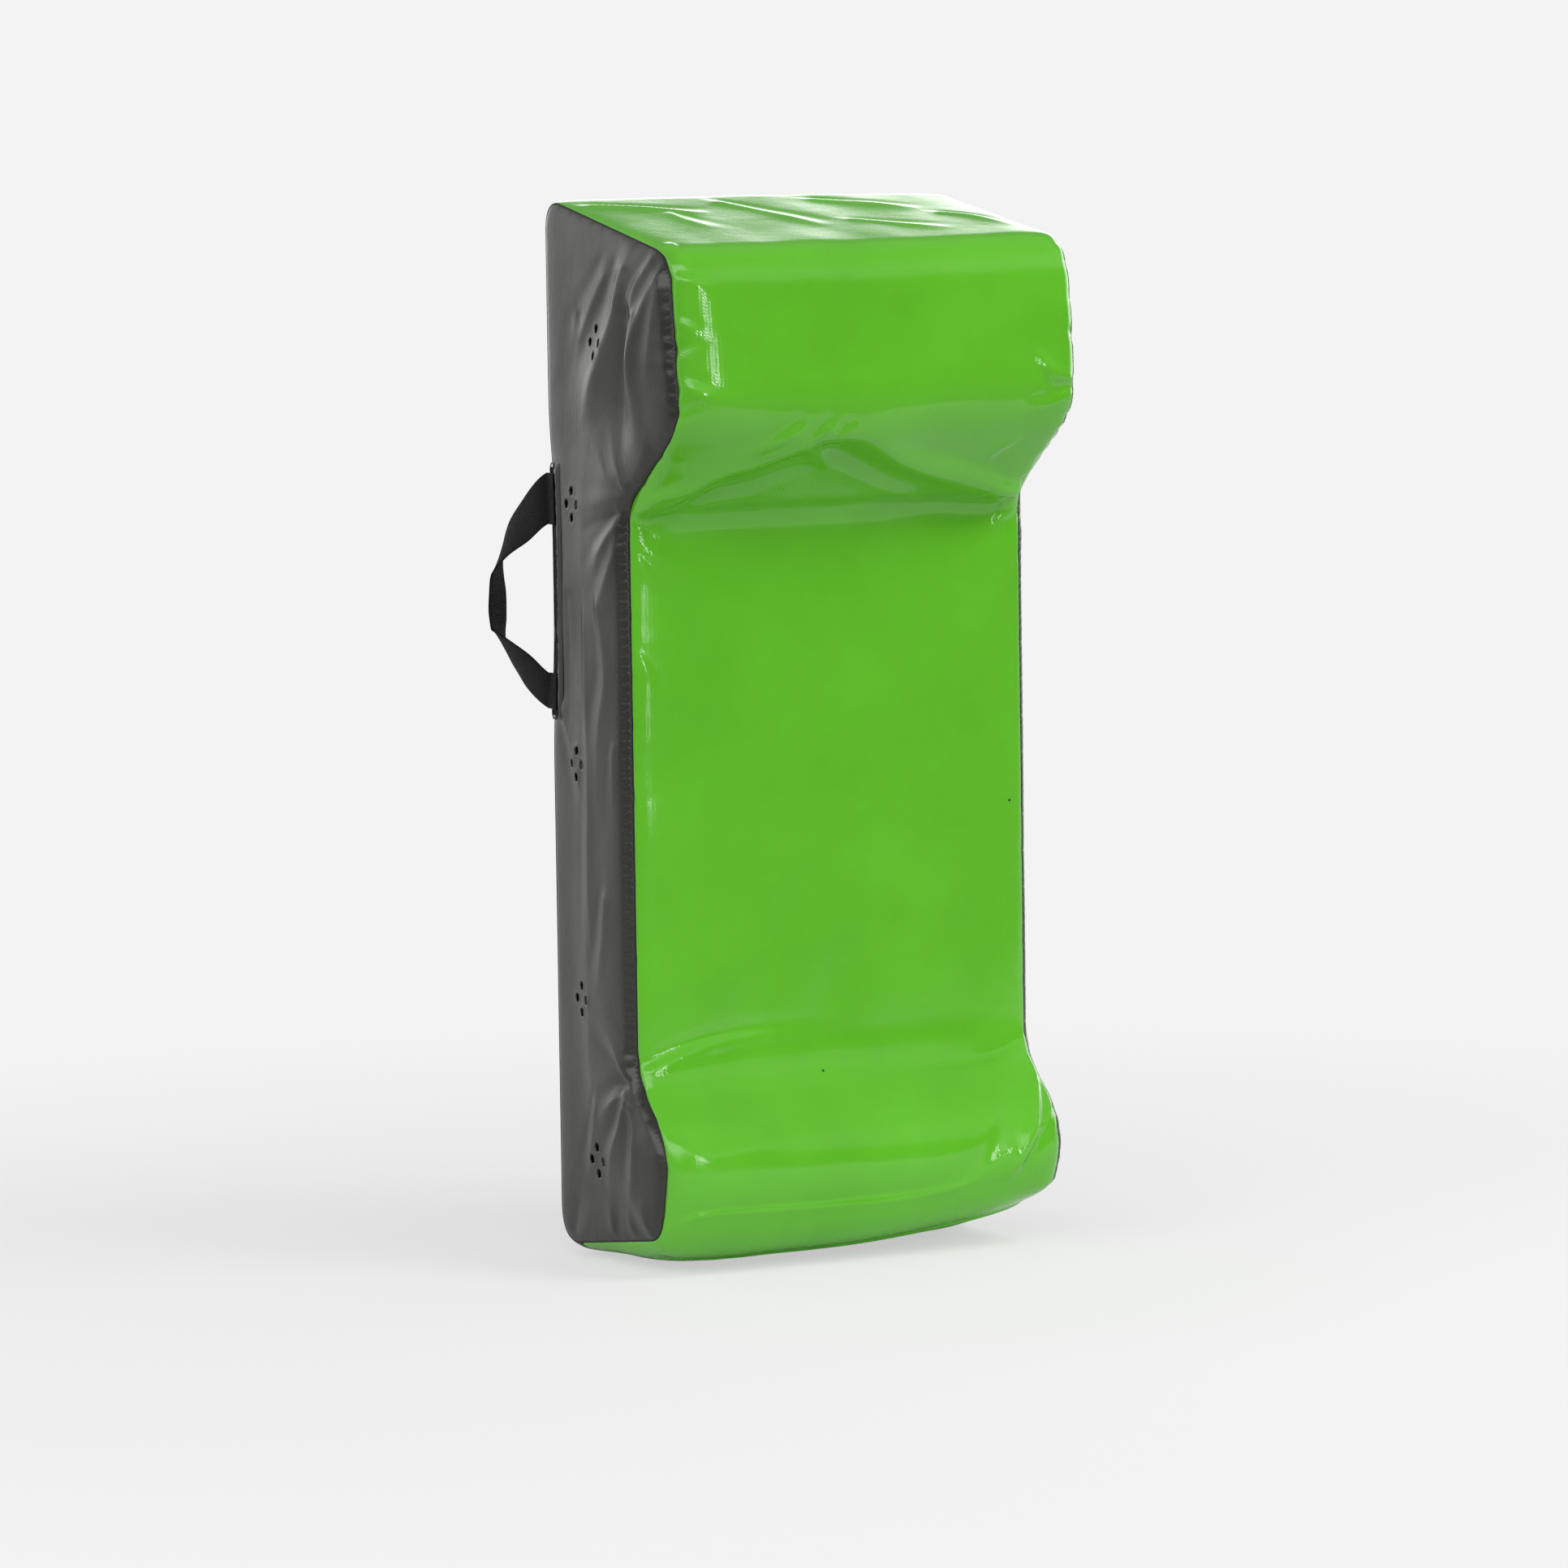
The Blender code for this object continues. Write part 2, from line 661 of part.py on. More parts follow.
def through(points, t):
    """A smooth curve through the points, at a share t of their count."""
    last = len(points) - 2
    i = min(int(t), last)
    p = [points[max(i - 1, 0)], points[i], points[i + 1], points[min(i + 2, last + 1)]]
    u = t - i
    return 0.5 * (
        2 * p[1]
        + (p[2] - p[0]) * u
        + (2 * p[0] - 5 * p[1] + 4 * p[2] - p[3]) * u**2
        + (3 * p[1] - p[0] - 3 * p[2] + p[3]) * u**3
    )


def loop_stations():
    """Along the loop: its centre, width vector and thickness vector, in the loop's own frame.

    The frame has X towards the middle of the shield, Y back from it and Z up.
    """
    high = (UPPER_TAB_TOP + UPPER_TAB_BOTTOM) / 2
    low = (LOWER_TAB_TOP + LOWER_TAB_BOTTOM) / 2
    reach = LOOP_REACH - LOOP_START
    route = [
        Vector((0, LOOP_START + reach * back, low + (high - low) * up)) for back, up in LOOP_ROUTE_RATIOS
    ]
    count = (len(route) - 1) * LOOP_SAMPLES
    centres = [through(route, step / LOOP_SAMPLES) for step in range(count + 1)]
    stations = []
    for step, centre in enumerate(centres):
        run = (centres[min(step + 1, count)] - centres[max(step - 1, 0)]).normalized()
        share = step / count
        across = Vector((0, -run.z, run.y))
        half = WEBBING_WIDTH / 2
        for near, upright, cut in (
            (share, Vector((0, 0, 1)), UPPER_TAB_TOP - UPPER_TAB_BOTTOM),
            (1 - share, Vector((0, 0, -1)), LOWER_TAB_TOP - LOWER_TAB_BOTTOM),
        ):
            if near < LOOP_BLEND_RATIO:
                level = 1 - near / LOOP_BLEND_RATIO
                ease = level * level * (3 - 2 * level)
                half += (cut / 2 - half) * ease
                across = across.lerp(upright, ease).normalized()
        twist = math.radians(LOOP_TWIST) * math.sin(math.pi * share) ** 2
        width = (across * math.cos(twist) + Vector((math.sin(twist), 0, 0))) * half
        thickness = run.cross(width).normalized() * WEBBING_THICKNESS / 2
        stations.append((centre, width, thickness))
    return stations


def loop_origin(side):
    return Vector((side * (WIDTH / 2 + LOOP_AXIS_OUT), ORIGIN_DEPTH + LOOP_AXIS_BACK, 0))


def make_hand_loop(side, name, collection, material):
    """The free stretch of webbing, twisted so that its middle turns to meet a palm."""
    mirror = Vector((-side, 1, 1))
    bm = bmesh.new()
    rings = []
    for centre, width, thickness in loop_stations():
        corners = (centre + width + thickness, centre + width - thickness,
                   centre - width - thickness, centre - width + thickness)
        rings.append([bm.verts.new(corner * mirror) for corner in corners])
    for first, second in zip(rings, rings[1:]):
        for i in range(4):
            j = (i + 1) % 4
            bm.faces.new((first[i], first[j], second[j], second[i]))
    bm.faces.new(rings[0])
    bm.faces.new(rings[-1])
    bmesh.ops.recalc_face_normals(bm, faces=bm.faces)
    new_object(name, finish_mesh(name, bm), collection, material, loop_origin(side))


def make_handle(side, word, collection, materials):
    """The webbing strip on a back corner, the two sewn ends on it and the loop between them."""
    black = materials["webbing"]
    strip_lift = GAP
    tab_lift = strip_lift + WEBBING_THICKNESS + GAP
    for name, span, start, width, lift in (
        ("strip", (STRIP_BOTTOM, STRIP_TOP), STRIP_EDGE, STRIP_WIDTH, strip_lift),
        ("upper_end", (UPPER_TAB_BOTTOM, UPPER_TAB_TOP), TAB_EDGE, TAB_WIDTH, tab_lift),
        ("lower_end", (LOWER_TAB_BOTTOM, LOWER_TAB_TOP), TAB_EDGE, TAB_WIDTH, tab_lift),
    ):
        full_name = f"handle_{name}_{word}"
        make_rim_strip(side, full_name, span, start, width, lift, collection, black)
    make_hand_loop(side, f"handle_loop_{word}", collection, black)


def main():
    clear_scene()
    parts = new_collection("tackle_shield")
    helpers = new_collection("cutters")
    materials = {
        "green_pvc": new_material("green_pvc", GREEN, 0.28),
        "charcoal_pvc": new_material("charcoal_pvc", CHARCOAL, 0.5),
        "webbing": new_material("webbing", BLACK, 0.85),
        "foam": new_material("foam", FOAM_GREY, 0.95),
        "zip_plastic": new_material("zip_plastic", BLACK, 0.45),
        "zip_metal": new_material("zip_metal", ZINC, 0.35, 1.0),
    }
    cutters = {"vents": make_vent_cutter(helpers), "zip_slot": make_slot_cutter(helpers)}
    make_foam(parts, materials["foam"])
    make_front_cover(parts, materials["green_pvc"])
    for side, word in ((-1, "left"), (1, "right")):
        charcoal = materials["charcoal_pvc"]
        make_side_cover(side, f"side_cover_{word}", parts, cutters, charcoal)
        make_back_cover(side, f"back_cover_{word}", parts, cutters, charcoal)
        make_handle(side, word, parts, materials)
        shift = TOOTH_STAGGER_RATIO * side
        make_zip_chain(side, f"zip_chain_{word}", shift, parts, helpers, materials["zip_plastic"])
    make_zip_stops(parts, materials["zip_plastic"])
    make_zip_slider(parts, helpers, materials["zip_metal"])
    make_zip_pull(parts, materials["zip_metal"])


main()
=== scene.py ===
"""Looks of a padded contact shield: sewn PVC panels with folds, webbing hand loops, zip and foam.

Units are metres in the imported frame: +Z is up and the padded front faces -Y. Depth is counted
forward from the back seam plane, as in the construction.
"""

import json
import math

import bmesh
import bpy
import numpy as np
from mathutils import Matrix, Vector
from mathutils.bvhtree import BVHTree
from mathutils.geometry import delaunay_2d_cdt

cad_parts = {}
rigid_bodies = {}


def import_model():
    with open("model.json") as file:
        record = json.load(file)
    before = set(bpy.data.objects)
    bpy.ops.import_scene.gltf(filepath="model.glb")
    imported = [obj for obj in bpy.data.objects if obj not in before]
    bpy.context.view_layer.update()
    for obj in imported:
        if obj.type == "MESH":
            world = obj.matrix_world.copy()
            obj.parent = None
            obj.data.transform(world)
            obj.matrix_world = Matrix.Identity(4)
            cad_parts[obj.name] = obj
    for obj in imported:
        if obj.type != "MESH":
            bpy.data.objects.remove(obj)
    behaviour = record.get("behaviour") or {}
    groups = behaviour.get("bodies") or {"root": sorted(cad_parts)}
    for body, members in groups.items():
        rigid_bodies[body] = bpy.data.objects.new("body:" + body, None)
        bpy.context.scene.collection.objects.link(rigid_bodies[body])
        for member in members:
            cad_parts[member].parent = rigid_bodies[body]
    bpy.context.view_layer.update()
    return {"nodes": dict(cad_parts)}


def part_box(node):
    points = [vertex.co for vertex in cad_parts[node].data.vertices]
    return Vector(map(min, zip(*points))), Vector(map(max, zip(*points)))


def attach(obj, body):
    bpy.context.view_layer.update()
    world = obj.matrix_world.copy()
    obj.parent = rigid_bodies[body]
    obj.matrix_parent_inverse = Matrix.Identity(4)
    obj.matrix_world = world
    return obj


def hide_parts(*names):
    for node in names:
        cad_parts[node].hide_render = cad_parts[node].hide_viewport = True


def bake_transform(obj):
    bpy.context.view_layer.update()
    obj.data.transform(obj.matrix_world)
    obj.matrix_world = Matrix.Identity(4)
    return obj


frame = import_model()

bl_info = {
    "name": "Padded contact shield",
    "version": (1, 0, 0),
    "blender": (4, 5, 0),
    "location": "View3D > Sidebar > Shield",
    "description": "Builds the sewn cover, webbing, zip and foam of a padded contact shield",
    "category": "Add Mesh",
}

# The side outline's corners: depth, height and how far its rounding starts from it, first at the
# seams and then down the middle of the swollen panels
CORNERS = (
    ((0.000, 1.0070, 0.034), (-0.004, 1.0090, 0.036)),
    ((0.257, 0.9570, 0.034), (0.269, 0.9600, 0.036)),
    ((0.271, 0.8000, 0.030), (0.284, 0.8070, 0.034)),
    ((0.166, 0.7210, 0.018), (0.171, 0.7030, 0.014)),
    ((0.166, 0.1880, 0.024), (0.172, 0.1880, 0.030)),
    ((0.228, 0.1220, 0.036), (0.245, 0.1120, 0.046)),
    ((0.209, 0.0370, 0.022), (0.213, 0.0200, 0.034)),
    ((0.145, 0.0281, 0.014), (0.132, 0.0000, 0.050)),
    ((0.000, 0.0080, 0.042), (-0.004, 0.0000, 0.042)),
)
TOP_STRETCH, BROW_CORNER, HEEL_CORNER = 0.5, 1, 8
# The green panel ends within the back top corner's rounding, at this share of it from the back
TOP_SPLIT = 0.35
LONGEST_ROUNDING = 0.48
BACK_CROWN = 0.004
SIDE_CROWN = 0.003
WRAP_ROLL = 0.046
TREAD_ROLL = 0.085
SIDE_ROLL = 0.035
SEAM_GAP = 0.0006
# The seam welt, dark thread and partly painted shade of the groove: its radius and how deep it sits
WELT_RADIUS = 0.0010
WELT_DEPTH = 0.0014
BACK_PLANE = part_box("back_cover_left")[1].y - BACK_CROWN
HALF_WIDTH = 0.209
WRAP_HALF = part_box("front_cover")[1].x
PVC_THICKNESS = 0.0011
# The side panels turn over the foam's front edge: height, and share of the full shoulder there,
# for the left and the right panel. The shoulder is the narrow strip that faces the front, and the
# fall the slow slope behind it.
SHOULDER = {
    -1: (
        (0.02, 0.0), (0.05, 0.4), (0.12, 0.5), (0.165, 0.4), (0.20, 1.0), (0.69, 1.0), (0.73, 0.5),
        (0.77, 0.3), (0.80, 0.5), (0.86, 0.7), (0.92, 0.4), (0.95, 0.0),
    ),
    1: (
        (0.02, 0.0), (0.05, 0.4), (0.12, 0.3), (0.165, 0.1), (0.22, 0.55), (0.69, 0.55), (0.73, 0.3),
        (0.80, 0.1), (0.84, 0.0),
    ),
}
SHOULDER_RISE = 0.0075
SHOULDER_ROLL = 0.0090
SHOULDER_FADE = 0.120
FRONT_FALL = (
    (0.02, 0.0), (0.05, 0.6), (0.14, 0.8), (0.20, 0.3), (0.69, 0.3), (0.76, 0.6), (0.82, 1.0),
    (0.90, 1.0), (0.95, 0.3),
)
FRONT_FALL_DEPTH = 0.0055
FRONT_FALL_REACH = 0.055
# From this far in on, the distance from the front seam is a soft one
SOFT_FROM = 0.020
# How deep the side panels tuck into the seam, and how far in from it that and the gathers show
TUCK_DEPTH = 0.0012
TUCK_FADE = 0.006
GATHER_FADE = 0.0070
# From the seam or the zip the drawn folds rise to their full height over these distances
LIFT_START = 0.006
ZIP_CLEAR, ZIP_FADE = 0.012, 0.02
FLOOR_FADE = 0.02
# The back panels are sewn to the zip up to this far from its middle
ZIP_SEAM = 0.010
# The raised rim that punching leaves round a vent
VENT_LIP = 0.0005
VENT_LIP_WIDTH = 0.0015

VENT_GROUPS = ((0.117, 0.873), (0.058, 0.719), (0.064, 0.474), (0.066, 0.251), (0.093, 0.100))
VENT_REACH = 0.0126
VENT_RADIUS = 0.0045
VENT_SIDES = 16

STRIP_SPAN = (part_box("handle_strip_left")[0].z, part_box("handle_strip_left")[1].z)
STRIP_EDGE = 0.0050
STRIP_WIDTH = 0.020
TAB_EDGE = 0.0010
TAB_WIDTH = 0.018
UPPER_TAB = (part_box("handle_upper_end_left")[0].z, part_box("handle_upper_end_left")[1].z)
LOWER_TAB = (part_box("handle_lower_end_left")[0].z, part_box("handle_lower_end_left")[1].z)
LOOP_LENGTH = 0.40
WEBBING_THICKNESS = 0.0016
LOOP_OUT = 0.0045
LOOP_BACK = 0.0020
LOOP_START = 0.0010
# The gap under the webbing, and the thread of the box stitches
STRIP_GAP = 0.0003
STITCH_PITCH = 0.0032
STITCH_RADIUS = 0.00045
STITCH_SHARE = (0.18, 0.82)
# A step for slopes
NUDGE = 1e-4
LOOP_REACH = 0.098
LOOP_TWIST = 50.0
LOOP_BLEND_RATIO = 0.22
# The loop's route, as shares of its reach and of its height between the sewn ends, from the top
LOOP_ROUTE = (
    (0.0, 1.0), (0.38, 0.885), (0.80, 0.765), (1.04, 0.63), (1.06, 0.475),
    (1.06, 0.34), (1.00, 0.225), (0.62, 0.13), (0.28, 0.06), (0.0, 0.0),
)
# Where and how far the loops draw in the back edge of the sides: middle height, half height, most
LOOP_PULL = (0.650, 0.120, 0.0055)
LOOP_PULL_FADE = 0.022
# Behind the edge the loop itself comes out again to its hinge over this distance
LOOP_PULL_END = 0.007
# Where the loops can come to lie on the back panels, which stay close to the foam there: how far out
# that starts, half its height, and the width of its border
LOOP_REST_FROM = 0.140
LOOP_REST_HALF = 0.16
LOOP_REST_BORDER = 0.02
# The side panels are sewn down under the webbing base, this far up and down from its middle
BASE_HOLD_HALF = 0.14
ZIP_SLOT_HALF = 0.007
ZIP_SLOT_SPAN = (0.1828, 0.7972)

# Folds are lines with half width, height, and the share of their length in which they fade out.
# Those of the side panels are drawn in depth and height.
SIDE_FOLDS = (
    (((0.252, 0.948), (0.232, 0.918), (0.213, 0.886), (0.194, 0.839), (0.180, 0.784)), 0.0070, 0.0055, 0.4),
    (((0.231, 0.954), (0.207, 0.928), (0.198, 0.897), (0.189, 0.860)), 0.0055, 0.0040, 0.7),
    (((0.250, 0.935), (0.240, 0.881), (0.228, 0.830)), 0.0045, 0.0022, 0.6),
    (((0.212, 0.905), (0.199, 0.868), (0.192, 0.800)), 0.0045, 0.0024, 0.5),
    (((0.178, 0.948), (0.157, 0.899), (0.127, 0.857), (0.100, 0.822), (0.075, 0.771)), 0.0130, 0.0074, 0.4),
    (((0.140, 0.945), (0.100, 0.900), (0.076, 0.870), (0.050, 0.800)), 0.0080, 0.0026, 0.5),
    (((0.186, 0.915), (0.174, 0.850), (0.165, 0.790), (0.164, 0.745)), -0.0110, -0.0070, 0.5),
    (((0.073, 0.900), (0.084, 0.880)), 0.0045, -0.0024, 0.8),
    (((0.175, 0.725), (0.152, 0.739), (0.126, 0.765), (0.090, 0.800)), 0.0060, 0.0052, 0.7),
    (((0.181, 0.733), (0.167, 0.751), (0.151, 0.772), (0.140, 0.810)), 0.0048, 0.0044, 0.7),
    (((0.173, 0.728), (0.145, 0.748), (0.120, 0.790)), 0.0050, -0.0040, 0.7),
    (((0.186, 0.735), (0.205, 0.752), (0.225, 0.800)), 0.0050, 0.0034, 0.6),
    (((0.165, 0.712), (0.138, 0.686), (0.121, 0.670), (0.100, 0.636)), 0.0055, 0.0042, 0.7),
    (((0.164, 0.690), (0.140, 0.650), (0.101, 0.600)), 0.0065, 0.0030, 0.6),
    (((0.164, 0.716), (0.120, 0.705), (0.070, 0.690)), 0.0070, -0.0030, 0.7),
    (((0.088, 0.630), (0.090, 0.538), (0.093, 0.462), (0.090, 0.385), (0.092, 0.292)), 0.0055, 0.0026, 0.2),
    (((0.022, 0.531), (0.057, 0.474), (0.088, 0.423)), 0.0060, 0.0024, 0.5),
    (((0.119, 0.640), (0.135, 0.564), (0.118, 0.500), (0.112, 0.400)), 0.0070, 0.0026, 0.5),
    (((0.150, 0.500), (0.148, 0.470), (0.149, 0.410)), 0.0040, 0.0016, 0.6),
    (((0.040, 0.640), (0.044, 0.560), (0.034, 0.450)), 0.0080, -0.0020, 0.4),
    (((0.130, 0.360), (0.118, 0.300), (0.099, 0.247)), 0.0065, 0.0024, 0.5),
    (((0.165, 0.184), (0.154, 0.198), (0.138, 0.220), (0.108, 0.262)), 0.0055, 0.0044, 0.7),
    (((0.164, 0.178), (0.125, 0.205), (0.080, 0.220)), 0.0060, -0.0036, 0.7),
    (((0.166, 0.172), (0.147, 0.137), (0.126, 0.107), (0.110, 0.060)), 0.0055, 0.0046, 0.6),
    (((0.164, 0.174), (0.122, 0.153), (0.084, 0.126)), 0.0055, 0.0038, 0.7),
    (((0.096, 0.160), (0.082, 0.122), (0.065, 0.071)), 0.0045, 0.0024, 0.5),
    (((0.168, 0.168), (0.177, 0.133), (0.172, 0.094), (0.150, 0.040)), 0.0055, 0.0040, 0.6),
    (((0.172, 0.176), (0.194, 0.150), (0.210, 0.120)), 0.0045, 0.0026, 0.7),
    (((0.196, 0.045), (0.186, 0.080)), 0.0045, 0.0026, 0.7),
    (((0.118, 0.034), (0.112, 0.070)), 0.0050, 0.0022, 0.7),
    (((0.160, 0.036), (0.149, 0.062)), 0.0050, 0.0020, 0.7),
    (((0.030, 0.022), (0.055, 0.080)), 0.0080, -0.0022, 0.7),
)
# Those of the front are drawn in x and the way along the seam from the brow. A negative width puts
# the dip that goes with a fold on its other side.
FRONT_FOLDS = (
    (((-0.056, -0.179), (-0.024, -0.118), (0.004, -0.053)), 0.0110, 0.0016, 0.4),
    (((-0.128, -0.130), (-0.124, -0.093), (-0.116, -0.053)), 0.0100, 0.0014, 0.6),
    (((0.044, -0.179), (0.100, -0.150), (0.144, -0.122)), 0.0100, 0.0016, 0.4),
    (((0.036, -0.085), (0.080, -0.057), (0.124, -0.028)), 0.0090, 0.0015, 0.5),
    (((-0.192, -0.175), (-0.136, -0.150), (-0.080, -0.126)), 0.0090, 0.0020, 0.4),
    (((0.144, -0.106), (0.172, -0.077), (0.192, -0.020)), 0.0080, 0.0018, 0.5),
    (((-0.192, -0.006), (-0.195, 0.028), (-0.196, 0.040)), 0.0040, 0.0020, 0.5),
    (((-0.207, 0.044), (-0.195, 0.048), (-0.172, 0.059)), 0.0045, 0.0028, 0.6),
    (((-0.207, 0.084), (-0.188, 0.104)), 0.0050, 0.0022, 0.7),
    (((-0.207, 0.141), (-0.188, 0.160), (-0.150, 0.172)), 0.0060, 0.0026, 0.6),
    (((0.207, 0.157), (0.179, 0.156), (0.156, 0.128)), 0.0060, 0.0030, 0.5),
    (((0.206, 0.162), (0.176, 0.175), (0.144, 0.177)), 0.0055, -0.0024, 0.6),
    (((-0.120, 0.214), (-0.096, 0.200), (-0.074, 0.190)), 0.0055, 0.0034, 0.4),
    (((-0.076, 0.208), (-0.060, 0.196), (-0.044, 0.190)), 0.0045, 0.0028, 0.4),
    (((-0.044, 0.202), (-0.036, 0.196), (-0.022, 0.194)), 0.0040, 0.0024, 0.4),
    (
        (
            (-0.200, 0.296), (-0.152, 0.246), (-0.116, 0.233), (-0.060, 0.208), (-0.020, 0.204),
            (0.010, 0.217), (0.056, 0.241), (0.120, 0.262), (0.190, 0.276),
        ),
        -0.0200, 0.0080, 0.0,
    ),
    (((-0.068, 0.214), (-0.020, 0.241), (0.056, 0.274), (0.124, 0.289)), 0.0110, 0.0044, 0.4),
    (((0.198, 0.274), (0.144, 0.249), (0.080, 0.229), (0.012, 0.208)), 0.0100, -0.0044, 0.4),
    (((0.207, 0.302), (0.172, 0.274), (0.150, 0.284)), 0.0045, 0.0030, 0.5),
    (((0.160, 0.218), (0.144, 0.229), (0.138, 0.240)), 0.0040, 0.0022, 0.5),
    (((-0.207, 0.312), (-0.195, 0.272), (-0.160, 0.249)), 0.0045, 0.0030, 0.5),
    (
        ((-0.207, 0.313), (-0.168, 0.293), (-0.112, 0.288), (-0.024, 0.288), (0.060, 0.288), (0.195, 0.292)),
        0.0080, -0.0016, 0.0,
    ),
    (((-0.207, 0.322), (-0.190, 0.318)), 0.0030, 0.0018, 0.6),
    (((-0.207, 0.341), (-0.200, 0.349), (-0.182, 0.368)), 0.0036, 0.0022, 0.6),
    (((-0.207, 0.330), (-0.160, 0.352), (-0.080, 0.420)), 0.0150, 0.0010, 0.6),
    (((-0.207, 0.433), (-0.192, 0.457), (-0.186, 0.500)), 0.0060, 0.0010, 0.6),
    (((0.207, 0.317), (0.172, 0.325), (0.130, 0.362)), 0.0120, 0.0012, 0.6),
    (((-0.207, 0.838), (-0.184, 0.831), (-0.132, 0.82), (-0.072, 0.816), (0.02, 0.816)), 0.0065, 0.0034, 0.6),
    (((0.204, 0.834), (0.164, 0.846), (0.112, 0.850), (0.060, 0.852)), 0.0060, -0.0034, 0.6),
    (((-0.207, 0.842), (-0.196, 0.846)), 0.0030, 0.0022, 0.6),
    (((-0.2, 0.905), (-0.184, 0.915), (-0.156, 0.918), (-0.088, 0.911), (0.02, 0.907)), 0.0080, 0.0022, 0.4),
    (((0.172, 0.870), (0.132, 0.915), (0.108, 0.940)), 0.0090, 0.0014, 0.5),
    (((0.202, 0.872), (0.186, 0.905), (0.164, 0.935), (0.146, 0.966)), 0.0060, 0.0052, 0.3),
    (((0.202, 0.912), (0.180, 0.925), (0.158, 0.950)), 0.0040, 0.0032, 0.5),
    (((-0.191, 0.988), (-0.164, 0.971), (-0.044, 0.975), (0.08, 0.971), (0.152, 0.932)), 0.0080, 0.0020, 0.0),
    (((-0.190, 1.062), (-0.080, 1.040), (0.060, 1.044), (0.190, 1.030)), 0.0070, 0.0026, 0.0),
)
# Those of the back are drawn in x and height
BACK_FOLDS = (
    (((-0.200, 0.640), (-0.040, 0.560)), 0.0120, 0.0022, 0.8),
    (((0.200, 0.630), (0.050, 0.700)), 0.0120, 0.0022, 0.8),
    (((-0.190, 0.520), (-0.070, 0.440)), 0.0100, 0.0018, 0.8),
    (((0.190, 0.520), (0.060, 0.400)), 0.0110, 0.0018, 0.8),
    (((-0.180, 0.960), (-0.060, 0.860)), 0.0130, 0.0020, 0.8),
    (((0.180, 0.950), (0.070, 0.880)), 0.0120, 0.0018, 0.8),
    (((-0.180, 0.060), (-0.060, 0.140)), 0.0120, 0.0018, 0.8),
    (((0.180, 0.060), (0.050, 0.150)), 0.0120, 0.0018, 0.8),
)
# Stretches of the front seams that their stitching has gathered: heights, spacing and depth
GATHERS = (
    (0.955, 0.880, 0.036, 0.0020), (0.870, 0.780, 0.030, 0.0032), (0.770, 0.735, 0.030, 0.0020),
    (0.700, 0.240, 0.060, 0.0006), (0.200, 0.050, 0.040, 0.0012),
)
GATHER_HALF = 0.0055
GATHER_FOLD_RATIO = 0.34
GATHER_FOLD_HALF = 0.0055
GATHER_FOLD_FADE = 0.8
# The random ranges of a gather's depth, of its fold's length and of the way on to the next
GATHER_DEPTHS = (0.25, 1.0)
GATHER_LENGTHS = (0.018, 0.055)
GATHER_STEPS = (0.5, 1.6)
# How its fold leans up or down, and how quickly that changes along the seam
GATHER_LEAN = 0.25
GATHER_TURN = 190
# How far in from their seams the gathers and the loops draw the front and back panels
SEAM_PULL_FADE = 0.012
# A fold's shape: how far it reaches in half widths, its flanks' slopes and the roundness of its crest
FOLD_REACH = 6.0
FRONT_STEEP = 1.5
SIDE_STEEP = 0.9
SLOW_FLANK = 0.6
CREST_ROUND = 0.05
CREST_FALL = 1.25
# Its width at its first point and what that gains to its last, the share of its length in which it
# rises and what it starts with, and its dip's share of the height, place and half width
FIRST_WIDTH, WIDTH_GAIN = 0.55, 0.75
RISE_SHARE, RISE_START = 0.12, 0.25
DIP_SHARE, DIP_PLACE, DIP_HALF = 0.45, 1.6, 0.8
# The side panels' folds are drawn broader and lower than listed
SIDE_FOLD_WIDTH = 1.9
SIDE_FOLD_HEIGHT = 0.80
# How far in from the seam the folds of the left and the right panel have their full height
FOLDS_START = {-1: 0.008, 1: 0.025}
# The crisp part of the folds, drawn again on the finer cloth that came to rest, by the first word
# of the panel's name: the folds, their share of the height, and their steep flank's slope
CRISP_FOLDS = {"front": (FRONT_FOLDS, 0.20, FRONT_STEEP), "side": (SIDE_FOLDS, 0.10, SIDE_STEEP)}
CRISP_NARROW = 0.7
FREE_FROM = 0.008
# Where the foam has settled out of its cut shape: middle as x, depth and height, radii and shift
SETTLING = (
    ((0.209, 0.010, 1.005), (0.110, 0.090, 0.060), (0.0, 0.0, -0.0025)),
    ((0.209, 0.255, 0.960), (0.120, 0.080, 0.060), (0.0, 0.0, 0.0030)),
    ((0.209, 0.265, 0.880), (0.070, 0.090, 0.090), (0.0050, 0.0, 0.0)),
    ((0.209, 0.225, 0.085), (0.070, 0.080, 0.075), (0.0060, 0.0, 0.0)),
    ((0.209, 0.190, 0.020), (0.130, 0.090, 0.040), (0.0, 0.0, 0.0200)),
)
UNDULATION = 0.0003
UNDULATION_LENGTH = 0.095
FOAM_CELL = 0.008
FOAM_CLEARANCE = 0.0025
FOAM_PRESS = 0.03

# The cloth that wrinkles: the share of the most slack along the front's way from the brow, on the
# sides and on the back
FRONT_SLACK = (
    (-0.20, 0.3), (-0.02, 0.2), (0.03, 0.0), (0.15, 0.0), (0.20, 0.6), (0.29, 0.5), (0.34, 0.0),
    (0.78, 0.0), (0.83, 0.3), (0.88, 0.1), (0.95, 0.1), (1.00, 0.3), (1.10, 0.2),
)
SIDE_SLACK = 0.6
BACK_SLACK = 0.4
# How firmly the foam holds the cloth, along the front's way from the brow, on the sides and the back
FRONT_HOLD = (
    (-0.05, 0.3), (0.03, 0.8), (0.14, 0.8), (0.18, 0.3), (0.29, 0.3), (0.34, 0.9), (0.78, 0.9), (0.82, 0.4),
)
SIDE_HOLD = 0.4
BACK_HOLD = 0.25
CLOTH_PRESSURE = 1.0
CLOTH_FRAMES = 20
CLOTH_STIFFNESS = 30.0
CLOTH_BENDING = 0.2
CLOTH_REACH = 0.006
